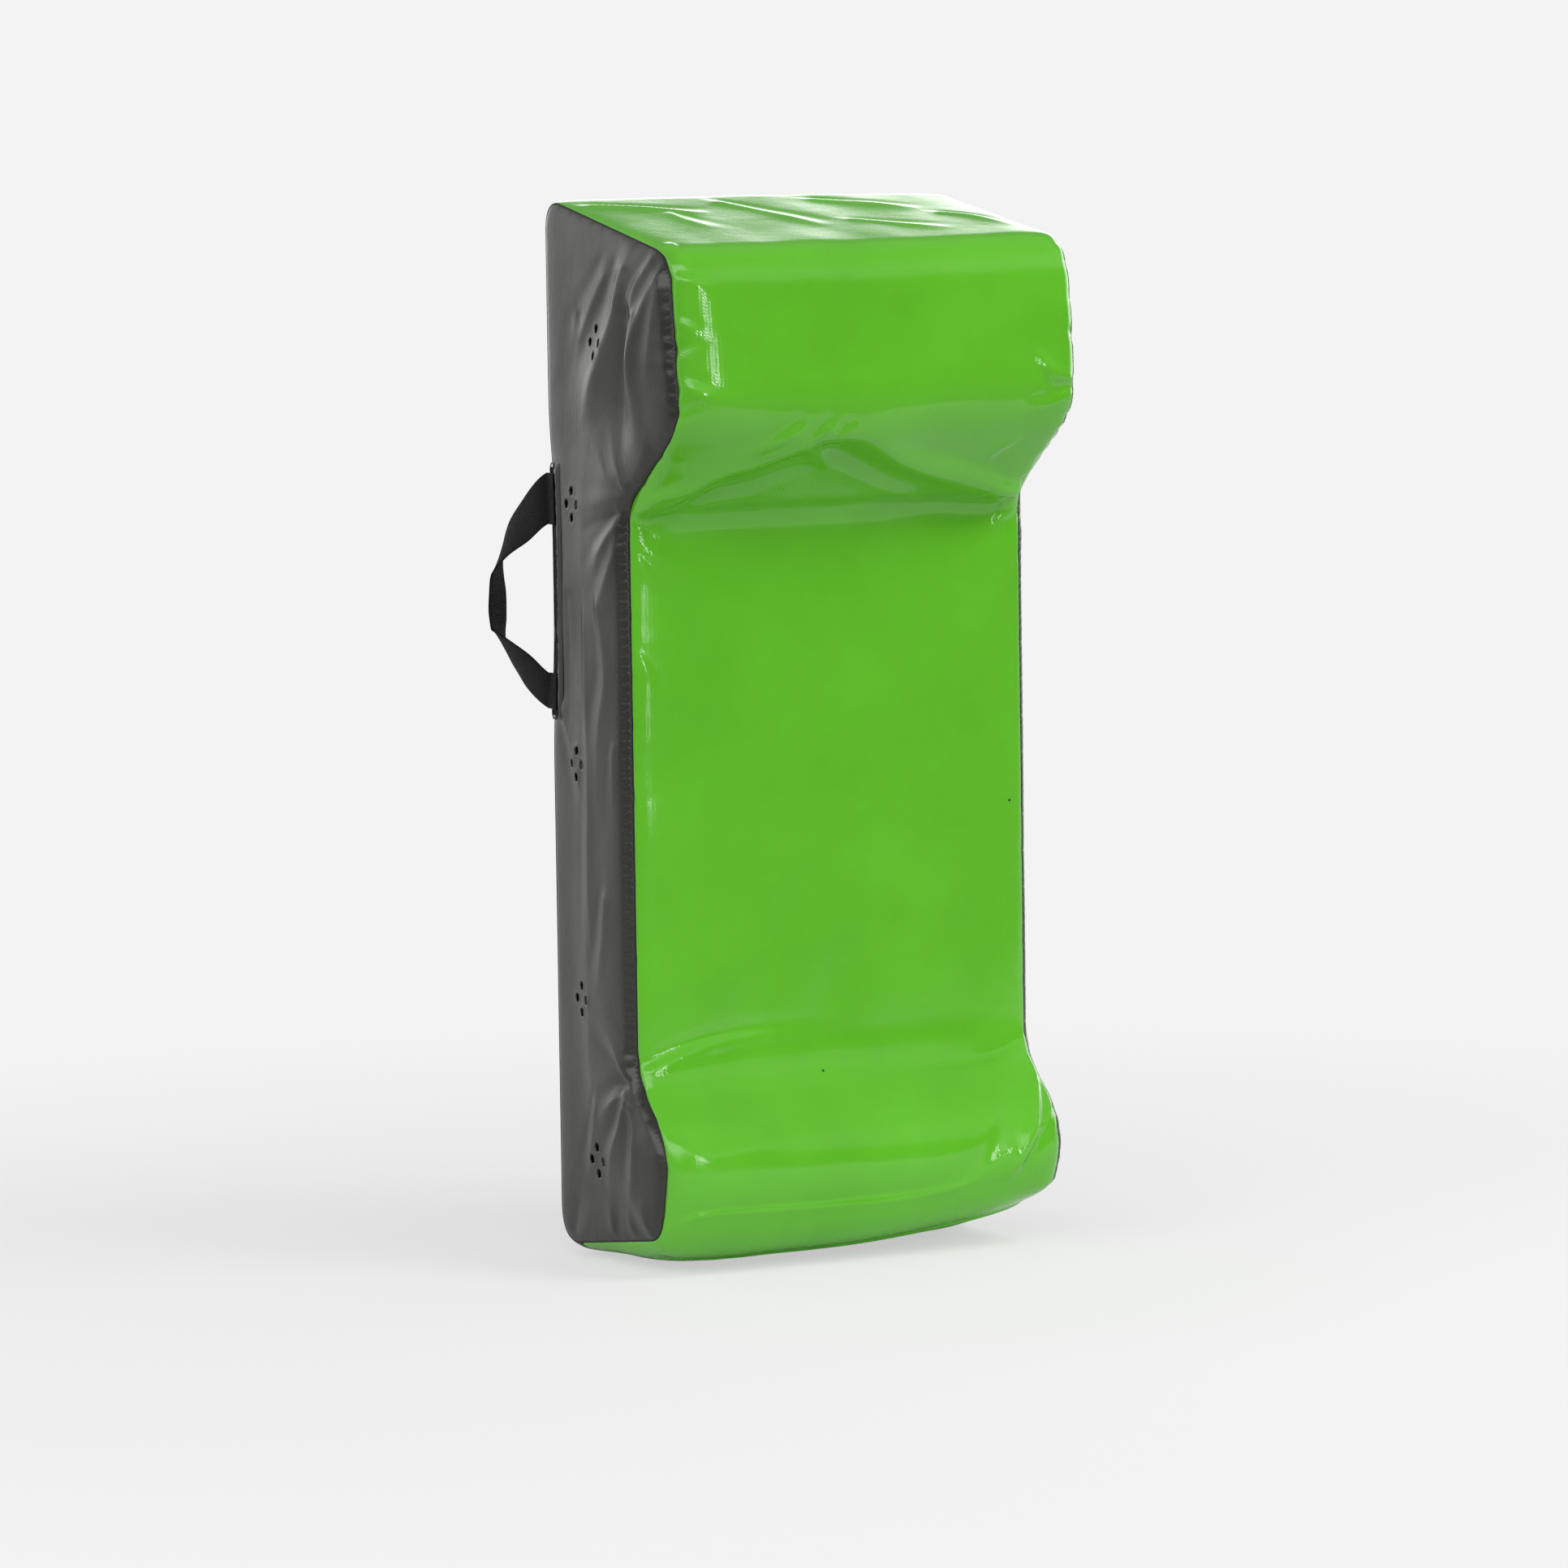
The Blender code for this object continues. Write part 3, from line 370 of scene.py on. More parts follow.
# Wholly held up to this far in from a seam, and firmly still over the distance after it
SEAM_HOLD = 0.0015
SEAM_HOLD_FADE = 0.006
NEAR_SEAM_HOLD = 0.7
FOAM_STIFFNESS = 1.0

# How bright the studio's walls are low down and higher up, each as front left, front right, then
# back left, back right, and how bright its ceiling is
WALL_GLOW = (((0.25, 0.10), (1.20, 2.35)), ((2.95, 0.60), (0.75, 0.20)))
CEILING_GLOW = 0.34
# The white floor ends this far in front of the shield, and beyond it the floor is grey
SWEEP_END = 1.30
SWEEP_FADE = 0.12
# The camera, turned and placed as the photograph was taken
CAMERA_AZIMUTH = 27.92
CAMERA_PITCH = 5.5
CAMERA_ROLL = -0.81
CAMERA_DISTANCE = 7.69
CAMERA_SIDE = 0.0343
CAMERA_RISE = -0.0626
CAMERA_TARGET_HEIGHT = 0.5
FOCAL_PIXELS = 9843
PHOTO_PIXELS = 1932
SENSOR_WIDTH = 36.0


def linear(hex_colour):
    """An sRGB hex value as linear RGBA."""
    parts = [int(hex_colour[i:i + 2], 16) / 255 for i in (1, 3, 5)]
    return [c / 12.92 if c <= 0.04045 else ((c + 0.055) / 1.055) ** 2.4 for c in parts] + [1.0]


def add_node(tree, kind, settings=None, values=None, links=None):
    """Adds a node, sets its properties and input values, and links its inputs to other outputs."""
    node = tree.nodes.new(kind)
    for key, value in (settings or {}).items():
        setattr(node, key, value)
    for key, value in (values or {}).items():
        node.inputs[key].default_value = value
    for key, output in (links or {}).items():
        tree.links.new(output, node.inputs[key])
    return node


def new_material(name):
    material = bpy.data.materials.new(name)
    material.use_nodes = True
    material.node_tree.nodes.clear()
    return material, material.node_tree


def band_scale(spacing):
    """The Wave texture's scale for bands a given distance apart."""
    return 2 * math.pi / 20 / spacing


# A scrim's real threads are about 1 mm apart and webbing's real ribs too. Both are too fine to show
# here, and are drawn coarser.
SCRIM_SPACING = 0.0021
RIB_SPACING = 0.0042
WEBBING_RIBS = (("X", 0.0018), ("Y", 0.0024))
# Clouds of about 111 mm, ripples of about 26 mm and a speck in every 67 mm, as cells per metre
CLOUDS_PER_METRE = 9.0
RIPPLES_PER_METRE = 38.0
SPECKS_PER_METRE = 15.0
# The fabric's faint cloudiness, as the noise it starts and ends at and the shades there
CLOUD_SPAN = (0.35, 0.65)
CLOUD_SHADES = (0.95, 1.05)
# A speck's radius, as a share of its cell
SPECK_SIZE = 0.02


def coated_fabric(name, setting, roughness, scrim_depth, ripple_depth, specks):
    """PVC knife-coated on a polyester scrim. The coating shines and the scrim breaks up its highlights."""
    material, tree = new_material(name)
    shade = getattr(bpy.context.scene.shield_settings, setting)
    cloth = add_node(tree, "ShaderNodeUVMap", {"uv_map": "cloth"}).outputs[0]
    place_in_shield = add_node(tree, "ShaderNodeTexCoord").outputs["Object"]
    clouds = add_node(
        tree, "ShaderNodeTexNoise",
        values={"Scale": CLOUDS_PER_METRE, "Detail": 4.0, "Roughness": 0.55},
        links={"Vector": place_in_shield},
    ).outputs["Fac"]
    ramp = add_node(tree, "ShaderNodeValToRGB", links={"Fac": clouds})
    for element, position, share in zip(ramp.color_ramp.elements, CLOUD_SPAN, CLOUD_SHADES):
        element.position = position
        element.color = [part * share for part in shade] + [1.0]
    colour = ramp.outputs["Color"]
    if specks:
        spots = add_node(
            tree, "ShaderNodeTexVoronoi", values={"Scale": SPECKS_PER_METRE, "Randomness": 1.0},
            links={"Vector": place_in_shield},
        ).outputs["Distance"]
        dirt = add_node(
            tree, "ShaderNodeMath", {"operation": "LESS_THAN"}, {1: SPECK_SIZE}, {0: spots}
        ).outputs[0]
        colour = add_node(
            tree, "ShaderNodeMix", {"data_type": "RGBA"}, {"B": linear("#1f3a12")},
            {"Factor": dirt, "A": colour},
        ).outputs["Result"]
    threads = []
    for turn, spacing in ((38, SCRIM_SPACING), (0, RIB_SPACING)):
        mapping = add_node(
            tree, "ShaderNodeMapping", values={"Rotation": (0, 0, math.radians(turn))},
            links={"Vector": cloth},
        )
        wave = add_node(
            tree, "ShaderNodeTexWave", {"wave_profile": "SIN"},
            {"Scale": band_scale(spacing), "Distortion": 0.6, "Detail": 1.0, "Detail Scale": 2.0},
            {"Vector": mapping.outputs[0]},
        )
        threads.append(wave.outputs["Fac"])
    woven = add_node(
        tree, "ShaderNodeMath", {"operation": "ADD"}, links={0: threads[0], 1: threads[1]}
    ).outputs[0]
    weave = add_node(
        tree, "ShaderNodeBump", values={"Strength": 1.0, "Distance": scrim_depth}, links={"Height": woven}
    ).outputs[0]
    ripples = add_node(
        tree, "ShaderNodeTexNoise",
        values={"Scale": RIPPLES_PER_METRE, "Detail": 3.0, "Roughness": 0.5},
        links={"Vector": place_in_shield},
    ).outputs["Fac"]
    surface = add_node(
        tree, "ShaderNodeBump", values={"Strength": 1.0, "Distance": ripple_depth},
        links={"Height": ripples, "Normal": weave},
    ).outputs[0]
    gloss = add_node(
        tree, "ShaderNodeMapRange",
        values={"From Min": 0.3, "From Max": 0.7, "To Min": roughness[0], "To Max": roughness[1]},
        links={"Value": clouds},
    ).outputs[0]
    shader = add_node(
        tree, "ShaderNodeBsdfPrincipled", values={"IOR": 1.53},
        links={"Base Color": colour, "Roughness": gloss, "Normal": surface},
    )
    add_node(tree, "ShaderNodeOutputMaterial", links={"Surface": shader.outputs[0]})
    return material


def woven_polypropylene(name):
    """Webbing woven from matte black polypropylene yarn. Its ribs catch a dull sheen."""
    material, tree = new_material(name)
    cloth = add_node(tree, "ShaderNodeUVMap", {"uv_map": "cloth"}).outputs[0]
    ribs = [
        add_node(
            tree, "ShaderNodeTexWave", {"bands_direction": direction},
            {"Scale": band_scale(spacing), "Distortion": 0.4, "Detail": 1.0}, {"Vector": cloth},
        ).outputs["Fac"]
        for direction, spacing in WEBBING_RIBS
    ]
    weave = add_node(
        tree, "ShaderNodeMath", {"operation": "MULTIPLY"}, links={0: ribs[0], 1: ribs[1]}
    ).outputs[0]
    tone = add_node(tree, "ShaderNodeValToRGB", links={"Fac": weave})
    tone.color_ramp.elements[0].color = linear("#060605")
    tone.color_ramp.elements[1].color = linear("#171716")
    bump = add_node(
        tree, "ShaderNodeBump", values={"Strength": 1.0, "Distance": 0.0004}, links={"Height": weave}
    ).outputs[0]
    shader = add_node(
        tree, "ShaderNodeBsdfPrincipled",
        values={"Roughness": 0.85, "Sheen Weight": 0.03, "Specular IOR Level": 0.14},
        links={"Base Color": tone.outputs["Color"], "Normal": bump},
    )
    add_node(tree, "ShaderNodeOutputMaterial", links={"Surface": shader.outputs[0]})
    return material


def grainy(name, dark, light, scale, roughness, depth, metallic=0.0):
    """A plain solid with a fine grain: cut foam, moulded acetal, cast zinc or spun thread."""
    material, tree = new_material(name)
    place_in_shield = add_node(tree, "ShaderNodeTexCoord").outputs["Object"]
    grain = add_node(
        tree, "ShaderNodeTexNoise", values={"Scale": scale, "Detail": 5.0}, links={"Vector": place_in_shield}
    ).outputs["Fac"]
    tone = add_node(tree, "ShaderNodeValToRGB", links={"Fac": grain})
    tone.color_ramp.elements[0].position = 0.3
    tone.color_ramp.elements[1].position = 0.7
    tone.color_ramp.elements[0].color = linear(dark)
    tone.color_ramp.elements[1].color = linear(light)
    bump = add_node(
        tree, "ShaderNodeBump", values={"Strength": 1.0, "Distance": depth}, links={"Height": grain}
    ).outputs[0]
    shader = add_node(
        tree, "ShaderNodeBsdfPrincipled", values={"Roughness": roughness, "Metallic": metallic},
        links={"Base Color": tone.outputs["Color"], "Normal": bump},
    )
    add_node(tree, "ShaderNodeOutputMaterial", links={"Surface": shader.outputs[0]})
    return material


# A grainy finish says its shades, then its grains per metre. These are 1 to 4 mm wide, because the
# real ones are too fine to show.
FINISHES = {
    # A smooth glossy coating that mirrors the walls in soft streaks along its folds
    "pvc_coated_scrim_green": (coated_fabric, "front_colour", (0.08, 0.13), 0.000024, 0.00028, True),
    # The same cloth with a duller coating, so that its folds show as broad pale flanks
    "pvc_coated_scrim_charcoal": (coated_fabric, "side_colour", (0.28, 0.34), 0.00003, 0.0005, False),
    # Yarn that swallows nearly all light, against the shine of the coating
    "woven_polypropylene_black": (woven_polypropylene,),
    # Open cells, wholly matte
    "cut_polyether_foam": (grainy, "#7d8085", "#a4a7ab", 260.0, 0.95, 0.0006),
    # Twisted and glued filaments with a faint shine
    "bonded_polyester_thread": (grainy, "#0c0c0c", "#1c1c1b", 900.0, 0.6, 0.0001),
    # The satin skin of a moulding
    "moulded_acetal_black": (grainy, "#141414", "#1e1e1d", 700.0, 0.42, 0.00005),
    # Plated metal, the only bright one on the back
    "cast_zinc_nickel_plated": (grainy, "#a5a7a9", "#b8babc", 500.0, 0.30, 0.00004, 1.0),
}
GREEN, CHARCOAL, WEBBING, FOAM, THREAD, ACETAL, ZINC = FINISHES


def finish_of(name):
    """The finish of that name, made the first time it is asked for."""
    maker, *values = FINISHES[name]
    return bpy.data.materials.get(name) or maker(name, *values)


def through(points, t):
    """A place on the smooth line through points, where t counts them."""
    last = len(points) - 2
    i = min(int(t), last)
    p = [points[max(i - 1, 0)], points[i], points[i + 1], points[min(i + 2, last + 1)]]
    u = t - i
    return 0.5 * (
        2 * p[1] + (p[2] - p[0]) * u + (2 * p[0] - 5 * p[1] + 4 * p[2] - p[3]) * u**2
        + (3 * p[1] - p[0] - 3 * p[2] + p[3]) * u**3
    )


def roundings(corners):
    """Where each corner's rounding starts and ends, and the corner itself."""
    points = [np.array(corner[:2]) for corner in corners]
    rounded = []
    for i, point in enumerate(points):
        before = points[i - 1] - point
        after = points[(i + 1) % len(points)] - point
        ends = []
        for way in (before, after):
            length = np.linalg.norm(way)
            ends.append(point + way / length * min(corners[i][2], LONGEST_ROUNDING * length))
        rounded.append((ends[0], point, ends[1]))
    return rounded


def outlines(step):
    """The seam's and the middle's outline, and for each of their points its corner and its run."""
    seam = roundings([corner[0] for corner in CORNERS])
    middle = roundings([corner[1] for corner in CORNERS])
    rows, marks = [], []
    for i, corner in enumerate(seam):
        bend = max(4, int(2 * CORNERS[i][0][2] / step))
        for k in range(bend + 1):
            t = k / bend
            weights = ((1 - t) ** 2, 2 * t * (1 - t), t**2)
            rows.append([sum(w * p for w, p in zip(weights, line[i])) for line in (seam, middle)])
            marks.append(i)
        following = (i + 1) % len(seam)
        straight = max(1, int(np.linalg.norm(seam[following][0] - corner[2]) / step))
        for k in range(1, straight):
            t = k / straight
            rows.append([line[i][2] * (1 - t) + line[following][0] * t for line in (seam, middle)])
            marks.append(i + 0.5)
    rows = np.array(rows)
    steps = np.linalg.norm(np.diff(rows[:, 0], axis=0), axis=1)
    return rows[:, 0], rows[:, 1], np.array(marks), np.concatenate([[0], np.cumsum(steps)])


def fold_height(all_u, all_v, folds, steep, narrow=1.0):
    """How far folds lift the cloth. A fold is narrow at its first point and spreads towards its last.

    One flank is as steep as given and ends in a dip, and the other runs out slowly.
    """
    total = np.zeros_like(all_u)
    for line, width, height, fade in folds:
        points = [np.array(point) for point in line]
        reach = FOLD_REACH * abs(width)
        low, high = np.min(points, axis=0) - reach, np.max(points, axis=0) + reach
        near = (all_u > low[0]) & (all_u < high[0]) & (all_v > low[1]) & (all_v < high[1])
        u, v = all_u[near], all_v[near]
        count = 5 * (len(points) - 1)
        route = [through(points, k / 5) for k in range(count + 1)]
        nearest = np.full(u.shape, 1e9)
        across, share, past = np.zeros_like(u), np.zeros_like(u), np.zeros_like(u)
        for k, (start, end) in enumerate(zip(route, route[1:])):
            way = end - start
            length = np.linalg.norm(way)
            du, dv = u - start[0], v - start[1]
            along = (du * way[0] + dv * way[1]) / length**2
            t = np.clip(along, 0, 1)
            gap = np.hypot(du - t * way[0], dv - t * way[1])
            beside = (du * way[1] - dv * way[0]) / length
            over = np.abs(along - t) * length * (((k == 0) & (along < 0)) | ((k == count - 1) & (along > 1)))
            closer = gap < nearest
            nearest = np.where(closer, gap, nearest)
            across = np.where(closer, np.where(over > 0, beside, np.copysign(gap, beside)), across)
            share = np.where(closer, (k + t) / count, share)
            past = np.where(closer, over, past)
        aside = across / (width * narrow * (FIRST_WIDTH + WIDTH_GAIN * share))
        beyond = np.exp(-((past / width) ** 2))
        slope = np.where(aside > 0, steep, SLOW_FLANK) * aside
        ridge = np.exp(-CREST_FALL * (np.sqrt(slope**2 + CREST_ROUND) - CREST_ROUND**0.5))
        dip = DIP_SHARE * np.exp(-(((aside - DIP_PLACE) / DIP_HALF) ** 2))
        fading = np.clip((1 - share) / (fade + 1e-6), 0, 1)
        strength = np.minimum(share / RISE_SHARE + RISE_START, 1) * fading**2 * (3 - 2 * fading)
        total[near] += height * strength * beyond * (ridge - dip)
    return total * bpy.context.scene.shield_settings.fold_strength


def undulation(u, v, length, seed):
    """A gentle unevenness, as a sum of waves in seeded directions."""
    waves = np.random.default_rng(seed)
    total = np.zeros_like(u)
    for _ in range(7):
        angle = waves.uniform(0, 2 * math.pi)
        turn = 2 * math.pi / (length * waves.uniform(0.6, 1.7))
        total += np.sin((u * math.cos(angle) + v * math.sin(angle)) * turn + waves.uniform(0, 2 * math.pi))
    return total / 7**0.5


def gathers(side, seam, run):
    """Places along a front seam that its stitching has drawn in, as run, depth and fold length."""
    chance = np.random.default_rng(40 + side)
    front = on_front(seam)
    heights, runs = seam[front, 1][::-1], run[front][::-1]
    found = []
    for high, low, spacing, depth in GATHERS:
        at, end = np.interp([high, low], heights, runs)
        while at < end:
            found.append((at, depth * chance.uniform(*GATHER_DEPTHS), chance.uniform(*GATHER_LENGTHS)))
            at += spacing * chance.uniform(*GATHER_STEPS)
    return found


def drawn_in(run, found):
    total = np.zeros_like(run)
    for at, depth, _ in found:
        total += depth * np.exp(-(((run - at) / GATHER_HALF) ** 2))
    return total


def pulled_in(depth, height):
    """How far the loops have drawn in the back edge of the sides."""
    middle, half, most = LOOP_PULL
    return most * np.exp(-(((height - middle) / half) ** 4) - (depth / LOOP_PULL_FADE) ** 2)


def settle(points):
    """Moves points given as x, depth and height with the settled foam."""
    shift = np.zeros_like(points)
    for middle, radii, move in SETTLING:
        away = (points - np.array(middle)) / np.array(radii)
        shift += np.exp(-(away**2).sum(-1, keepdims=True)) * np.array(move)
    return points + shift


def in_world(x, depth, height):
    """World places of points given as x, depth and height, none of them under the floor."""
    settled = settle(np.stack(np.broadcast_arrays(x, depth, height), axis=-1))
    return np.stack(
        [settled[..., 0], BACK_PLANE - settled[..., 1], np.maximum(settled[..., 2], 0.0)], axis=-1
    )


def new_object(name, data):
    obj = bpy.data.objects.new(name, data)
    bpy.context.scene.collection.objects.link(obj)
    return obj


def mesh_object(name, points, faces, uv, finish):
    """A smooth mesh object with its flat pattern in the UV map, in metres of cloth."""
    mesh = bpy.data.meshes.new(name)
    mesh.from_pydata([tuple(p) for p in points], [], [tuple(f) for f in faces])
    layer = mesh.uv_layers.new(name="cloth")
    index = np.empty(len(mesh.loops), np.int32)
    mesh.loops.foreach_get("vertex_index", index)
    layer.data.foreach_set("uv", np.asarray(uv, np.float32)[index].ravel())
    mesh.shade_smooth()
    mesh.materials.append(finish_of(finish))
    return new_object(name, mesh)


def grid_faces(rows, columns, keep=None):
    faces = []
    for i in range(rows - 1):
        for j in range(columns - 1):
            if keep is None or keep[i, j]:
                a = i * columns + j
                faces.append((a, a + 1, a + columns + 1, a + columns))
    return faces


def grid_normals(grid):
    """Normals that point out of the shield, and whether the grid's faces have to be turned."""
    normal = np.cross(np.gradient(grid, axis=0), np.gradient(grid, axis=1))
    normal /= np.maximum(np.linalg.norm(normal, axis=-1, keepdims=True), 1e-9)
    core = np.array([0.0, BACK_PLANE - 0.08, 0.5])
    turned = ((grid - core) * normal).sum() < 0
    return -normal if turned else normal, turned


def points_of(mesh):
    flat = np.empty(len(mesh.vertices) * 3)
    mesh.vertices.foreach_get("co", flat)
    return flat.reshape(-1, 3)


def sewn_panel(name, grid, lift, uv, finish, keep=None):
    """A panel lifted off its grid, and the numbers of the grid's points that it uses."""
    normal, turned = grid_normals(grid)
    points = (grid + normal * lift[..., None]).reshape(-1, 3)
    points[:, 2] = np.maximum(points[:, 2], 0.0)
    faces = np.array(grid_faces(*lift.shape, keep))
    used, order = np.unique(faces if turned else faces[:, ::-1], return_inverse=True)
    return mesh_object(name, points[used], order.reshape(-1, 4).tolist(), uv[used], finish), used


def lay_on_foam(obj, held, inset, slack):
    """Makes a panel's mesh cloth that its seams hold, and the foam less so, and cuts it a little large."""
    for name, weights in (("held", held), ("slack", slack)):
        group = obj.vertex_groups.new(name=name)
        for index, weight in enumerate(np.ravel(weights)):
            group.add([index], float(weight), "REPLACE")
    free = obj.data.attributes.new("free", "FLOAT", "POINT")
    free.data.foreach_set("value", np.clip(np.ravel(inset) / FREE_FROM, 0, 1).astype(np.float32))
    cloth = obj.modifiers.new("Cloth", "CLOTH")
    cloth.collision_settings.use_collision = False
    cloth.point_cache.frame_start = 1
    cloth.point_cache.frame_end = CLOTH_FRAMES
    settings = cloth.settings
    settings.quality = 5
    settings.mass = 0.3
    settings.tension_stiffness = settings.compression_stiffness = CLOTH_STIFFNESS
    settings.shear_stiffness = CLOTH_STIFFNESS / 3
    settings.bending_stiffness = CLOTH_BENDING
    settings.vertex_group_mass = "held"
    settings.pin_stiffness = FOAM_STIFFNESS
    settings.vertex_group_shrink = "slack"
    settings.shrink_min = 0.0
    settings.shrink_max = -bpy.context.scene.shield_settings.cloth_slack
    settings.use_pressure = True
    settings.uniform_pressure_force = CLOTH_PRESSURE
    settings.effector_weights.gravity = 0.0


def refine(panel):
    """Subdivides a panel's rested cloth and draws the crisp part of its folds on it."""
    smooth = panel.modifiers.new("Smooth cloth", "SUBSURF")
    smooth.levels = 1
    graph = bpy.context.evaluated_depsgraph_get()
    mesh = bpy.data.meshes.new_from_object(
        panel.evaluated_get(graph), preserve_all_data_layers=True, depsgraph=graph
    )
    panel.modifiers.remove(smooth)
    panel.data = mesh
    points = points_of(mesh)
    part = panel.name.split("_")[0]
    if part in CRISP_FOLDS:
        folds, crisp, steep = CRISP_FOLDS[part]
        index = np.empty(len(mesh.loops), np.int32)
        mesh.loops.foreach_get("vertex_index", index)
        pattern = np.empty(2 * len(mesh.loops), np.float32)
        mesh.uv_layers["cloth"].data.foreach_get("uv", pattern)
        place = np.zeros((len(points), 2))
        place[index] = pattern.reshape(-1, 2)
        free = np.empty(len(points), np.float32)
        mesh.attributes["free"].data.foreach_get("value", free)
        normal = np.empty(3 * len(points), np.float32)
        mesh.vertex_normals.foreach_get("vector", normal)
        lift = crisp * fold_height(place[:, 0], place[:, 1], folds, steep, CRISP_NARROW) * free
        points += normal.reshape(-1, 3) * lift[:, None]
        points[:, 2] = np.maximum(points[:, 2], 0.0)
        mesh.vertices.foreach_set("co", points.ravel())
    mesh.attributes.remove(mesh.attributes["free"])
    mesh.update()


def wrinkle(panels):
    """Runs the panels' cloth, keeps where it came to rest, and gives the panels their thickness."""
    scene = bpy.context.scene
    starts = [points_of(panel.data) for panel in panels]
    for number in range(1, CLOTH_FRAMES + 1):
        scene.frame_set(number)
    graph = bpy.context.evaluated_depsgraph_get()
    ends = [points_of(panel.evaluated_get(graph).data) for panel in panels]
    for panel, start, end in zip(panels, starts, ends):
        move = end - start
        length = np.maximum(np.linalg.norm(move, axis=1, keepdims=True), 1e-9)
        rested = start + move / length * CLOTH_REACH * np.tanh(length / CLOTH_REACH)
        rested[:, 2] = np.maximum(rested[:, 2], 0.0)
        panel.data.vertices.foreach_set("co", rested.ravel())
    for panel in panels:
        panel.modifiers.remove(panel.modifiers["Cloth"])
        panel.vertex_groups.clear()
        refine(panel)
        solid = panel.modifiers.new("Thickness", "SOLIDIFY")
        solid.thickness = PVC_THICKNESS
        solid.offset = -1
        solid.use_even_offset = False
    scene.frame_set(1)


def finish_piece(obj, body, replaced=()):
    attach(obj, body)
    if replaced:
        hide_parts(*replaced)


def wrap_grid(columns, part, step):
    """Front or back surface from seam to seam: its world grid, flat depth and height, and run."""
    seam, middle, marks, run = outlines(step)
    top = int(TOP_SPLIT * np.argmax(marks == TOP_STRETCH))
    heel = np.argmax(marks == HEEL_CORNER)
    from_brow = run[np.argmax(marks == BROW_CORNER)]
    if part == "front":
        picked = np.arange(top, heel + 1)
    else:
        picked = np.concatenate([np.arange(heel, len(marks)), np.arange(0, top + 1)])
    found = {side: gathers(side, seam, run) for side in (-1, 1)}
    drawn = {side: drawn_in(run, found[side])[picked] for side in (-1, 1)}
    total = run[-1] + np.linalg.norm(seam[0] - seam[-1])
    seam, middle, run = seam[picked], middle[picked], run[picked]
    way = run - from_brow if part == "front" else (run - run[0]) % total
    low = np.exp(-(((seam[:, 1] - 0.02) / 0.02) ** 2)) * (seam[:, 0] > 0.02)
    roll = WRAP_ROLL + (TREAD_ROLL - WRAP_ROLL) * low
    margin = WRAP_HALF - np.abs(columns)
    way_in = np.clip(margin[None, :] / roll[:, None], 0, 1)
    swell = np.sqrt(1 - (1 - way_in) ** 2)
    flat = seam[:, None, :] * (1 - swell[..., None]) + middle[:, None, :] * swell[..., None]
    pull = np.where(columns[None, :] < 0, drawn[-1][:, None], drawn[1][:, None])
    pull = pull + pulled_in(seam[:, 0], seam[:, 1])[:, None]
    x = columns[None, :] - np.sign(columns)[None, :] * pull * np.exp(-margin / SEAM_PULL_FADE)[None, :]
    short = []
    for side in (-1, 1):
        for at, depth, length in found[side]:
            place = at - from_brow
            start = (side * (WRAP_HALF - 0.001), place)
            end = (side * (WRAP_HALF - length), place + length * GATHER_LEAN * math.sin(at * GATHER_TURN))
            short.append(((start, end), GATHER_FOLD_HALF, -GATHER_FOLD_RATIO * depth, GATHER_FOLD_FADE))
    return in_world(x, flat[..., 0], flat[..., 1]), flat, x, way, tuple(short)


def cloth_step():
    return bpy.context.scene.shield_settings.cloth_step


def held_by(inset, foam):
    """How firmly the cloth is held at a distance in from a seam: fully in it, and by the foam beyond."""
    near_seam = np.exp(-((inset / SEAM_HOLD_FADE) ** 2))
    return np.where(inset < SEAM_HOLD, 1.0, foam + np.maximum(NEAR_SEAM_HOLD - foam, 0) * near_seam)


def make_front():
    step = cloth_step()
    columns = np.linspace(-WRAP_HALF, WRAP_HALF, int(2 * WRAP_HALF / step))
    grid, flat, x, way, short = wrap_grid(columns, "front", step)
    along = np.broadcast_to(way[:, None], x.shape)
    inset = np.broadcast_to(WRAP_HALF - np.abs(columns), x.shape)
    lift = fold_height(x, along, FRONT_FOLDS + short, FRONT_STEEP)
    lift += undulation(x, along, UNDULATION_LENGTH, 3) * UNDULATION
    lift *= np.clip(inset / LIFT_START, 0, 1) * np.clip(flat[..., 1] / FLOOR_FADE, 0, 1)
    cover, _ = sewn_panel("front_panel", grid, lift, np.stack([x, along], -1).reshape(-1, 2), GREEN)
    held = held_by(inset, np.interp(along, *zip(*FRONT_HOLD)))
    held[[0, -1]] = 1
    lay_on_foam(cover, held, inset, np.interp(along, *zip(*FRONT_SLACK)))
    finish_piece(cover, "shield", ("front_cover",))


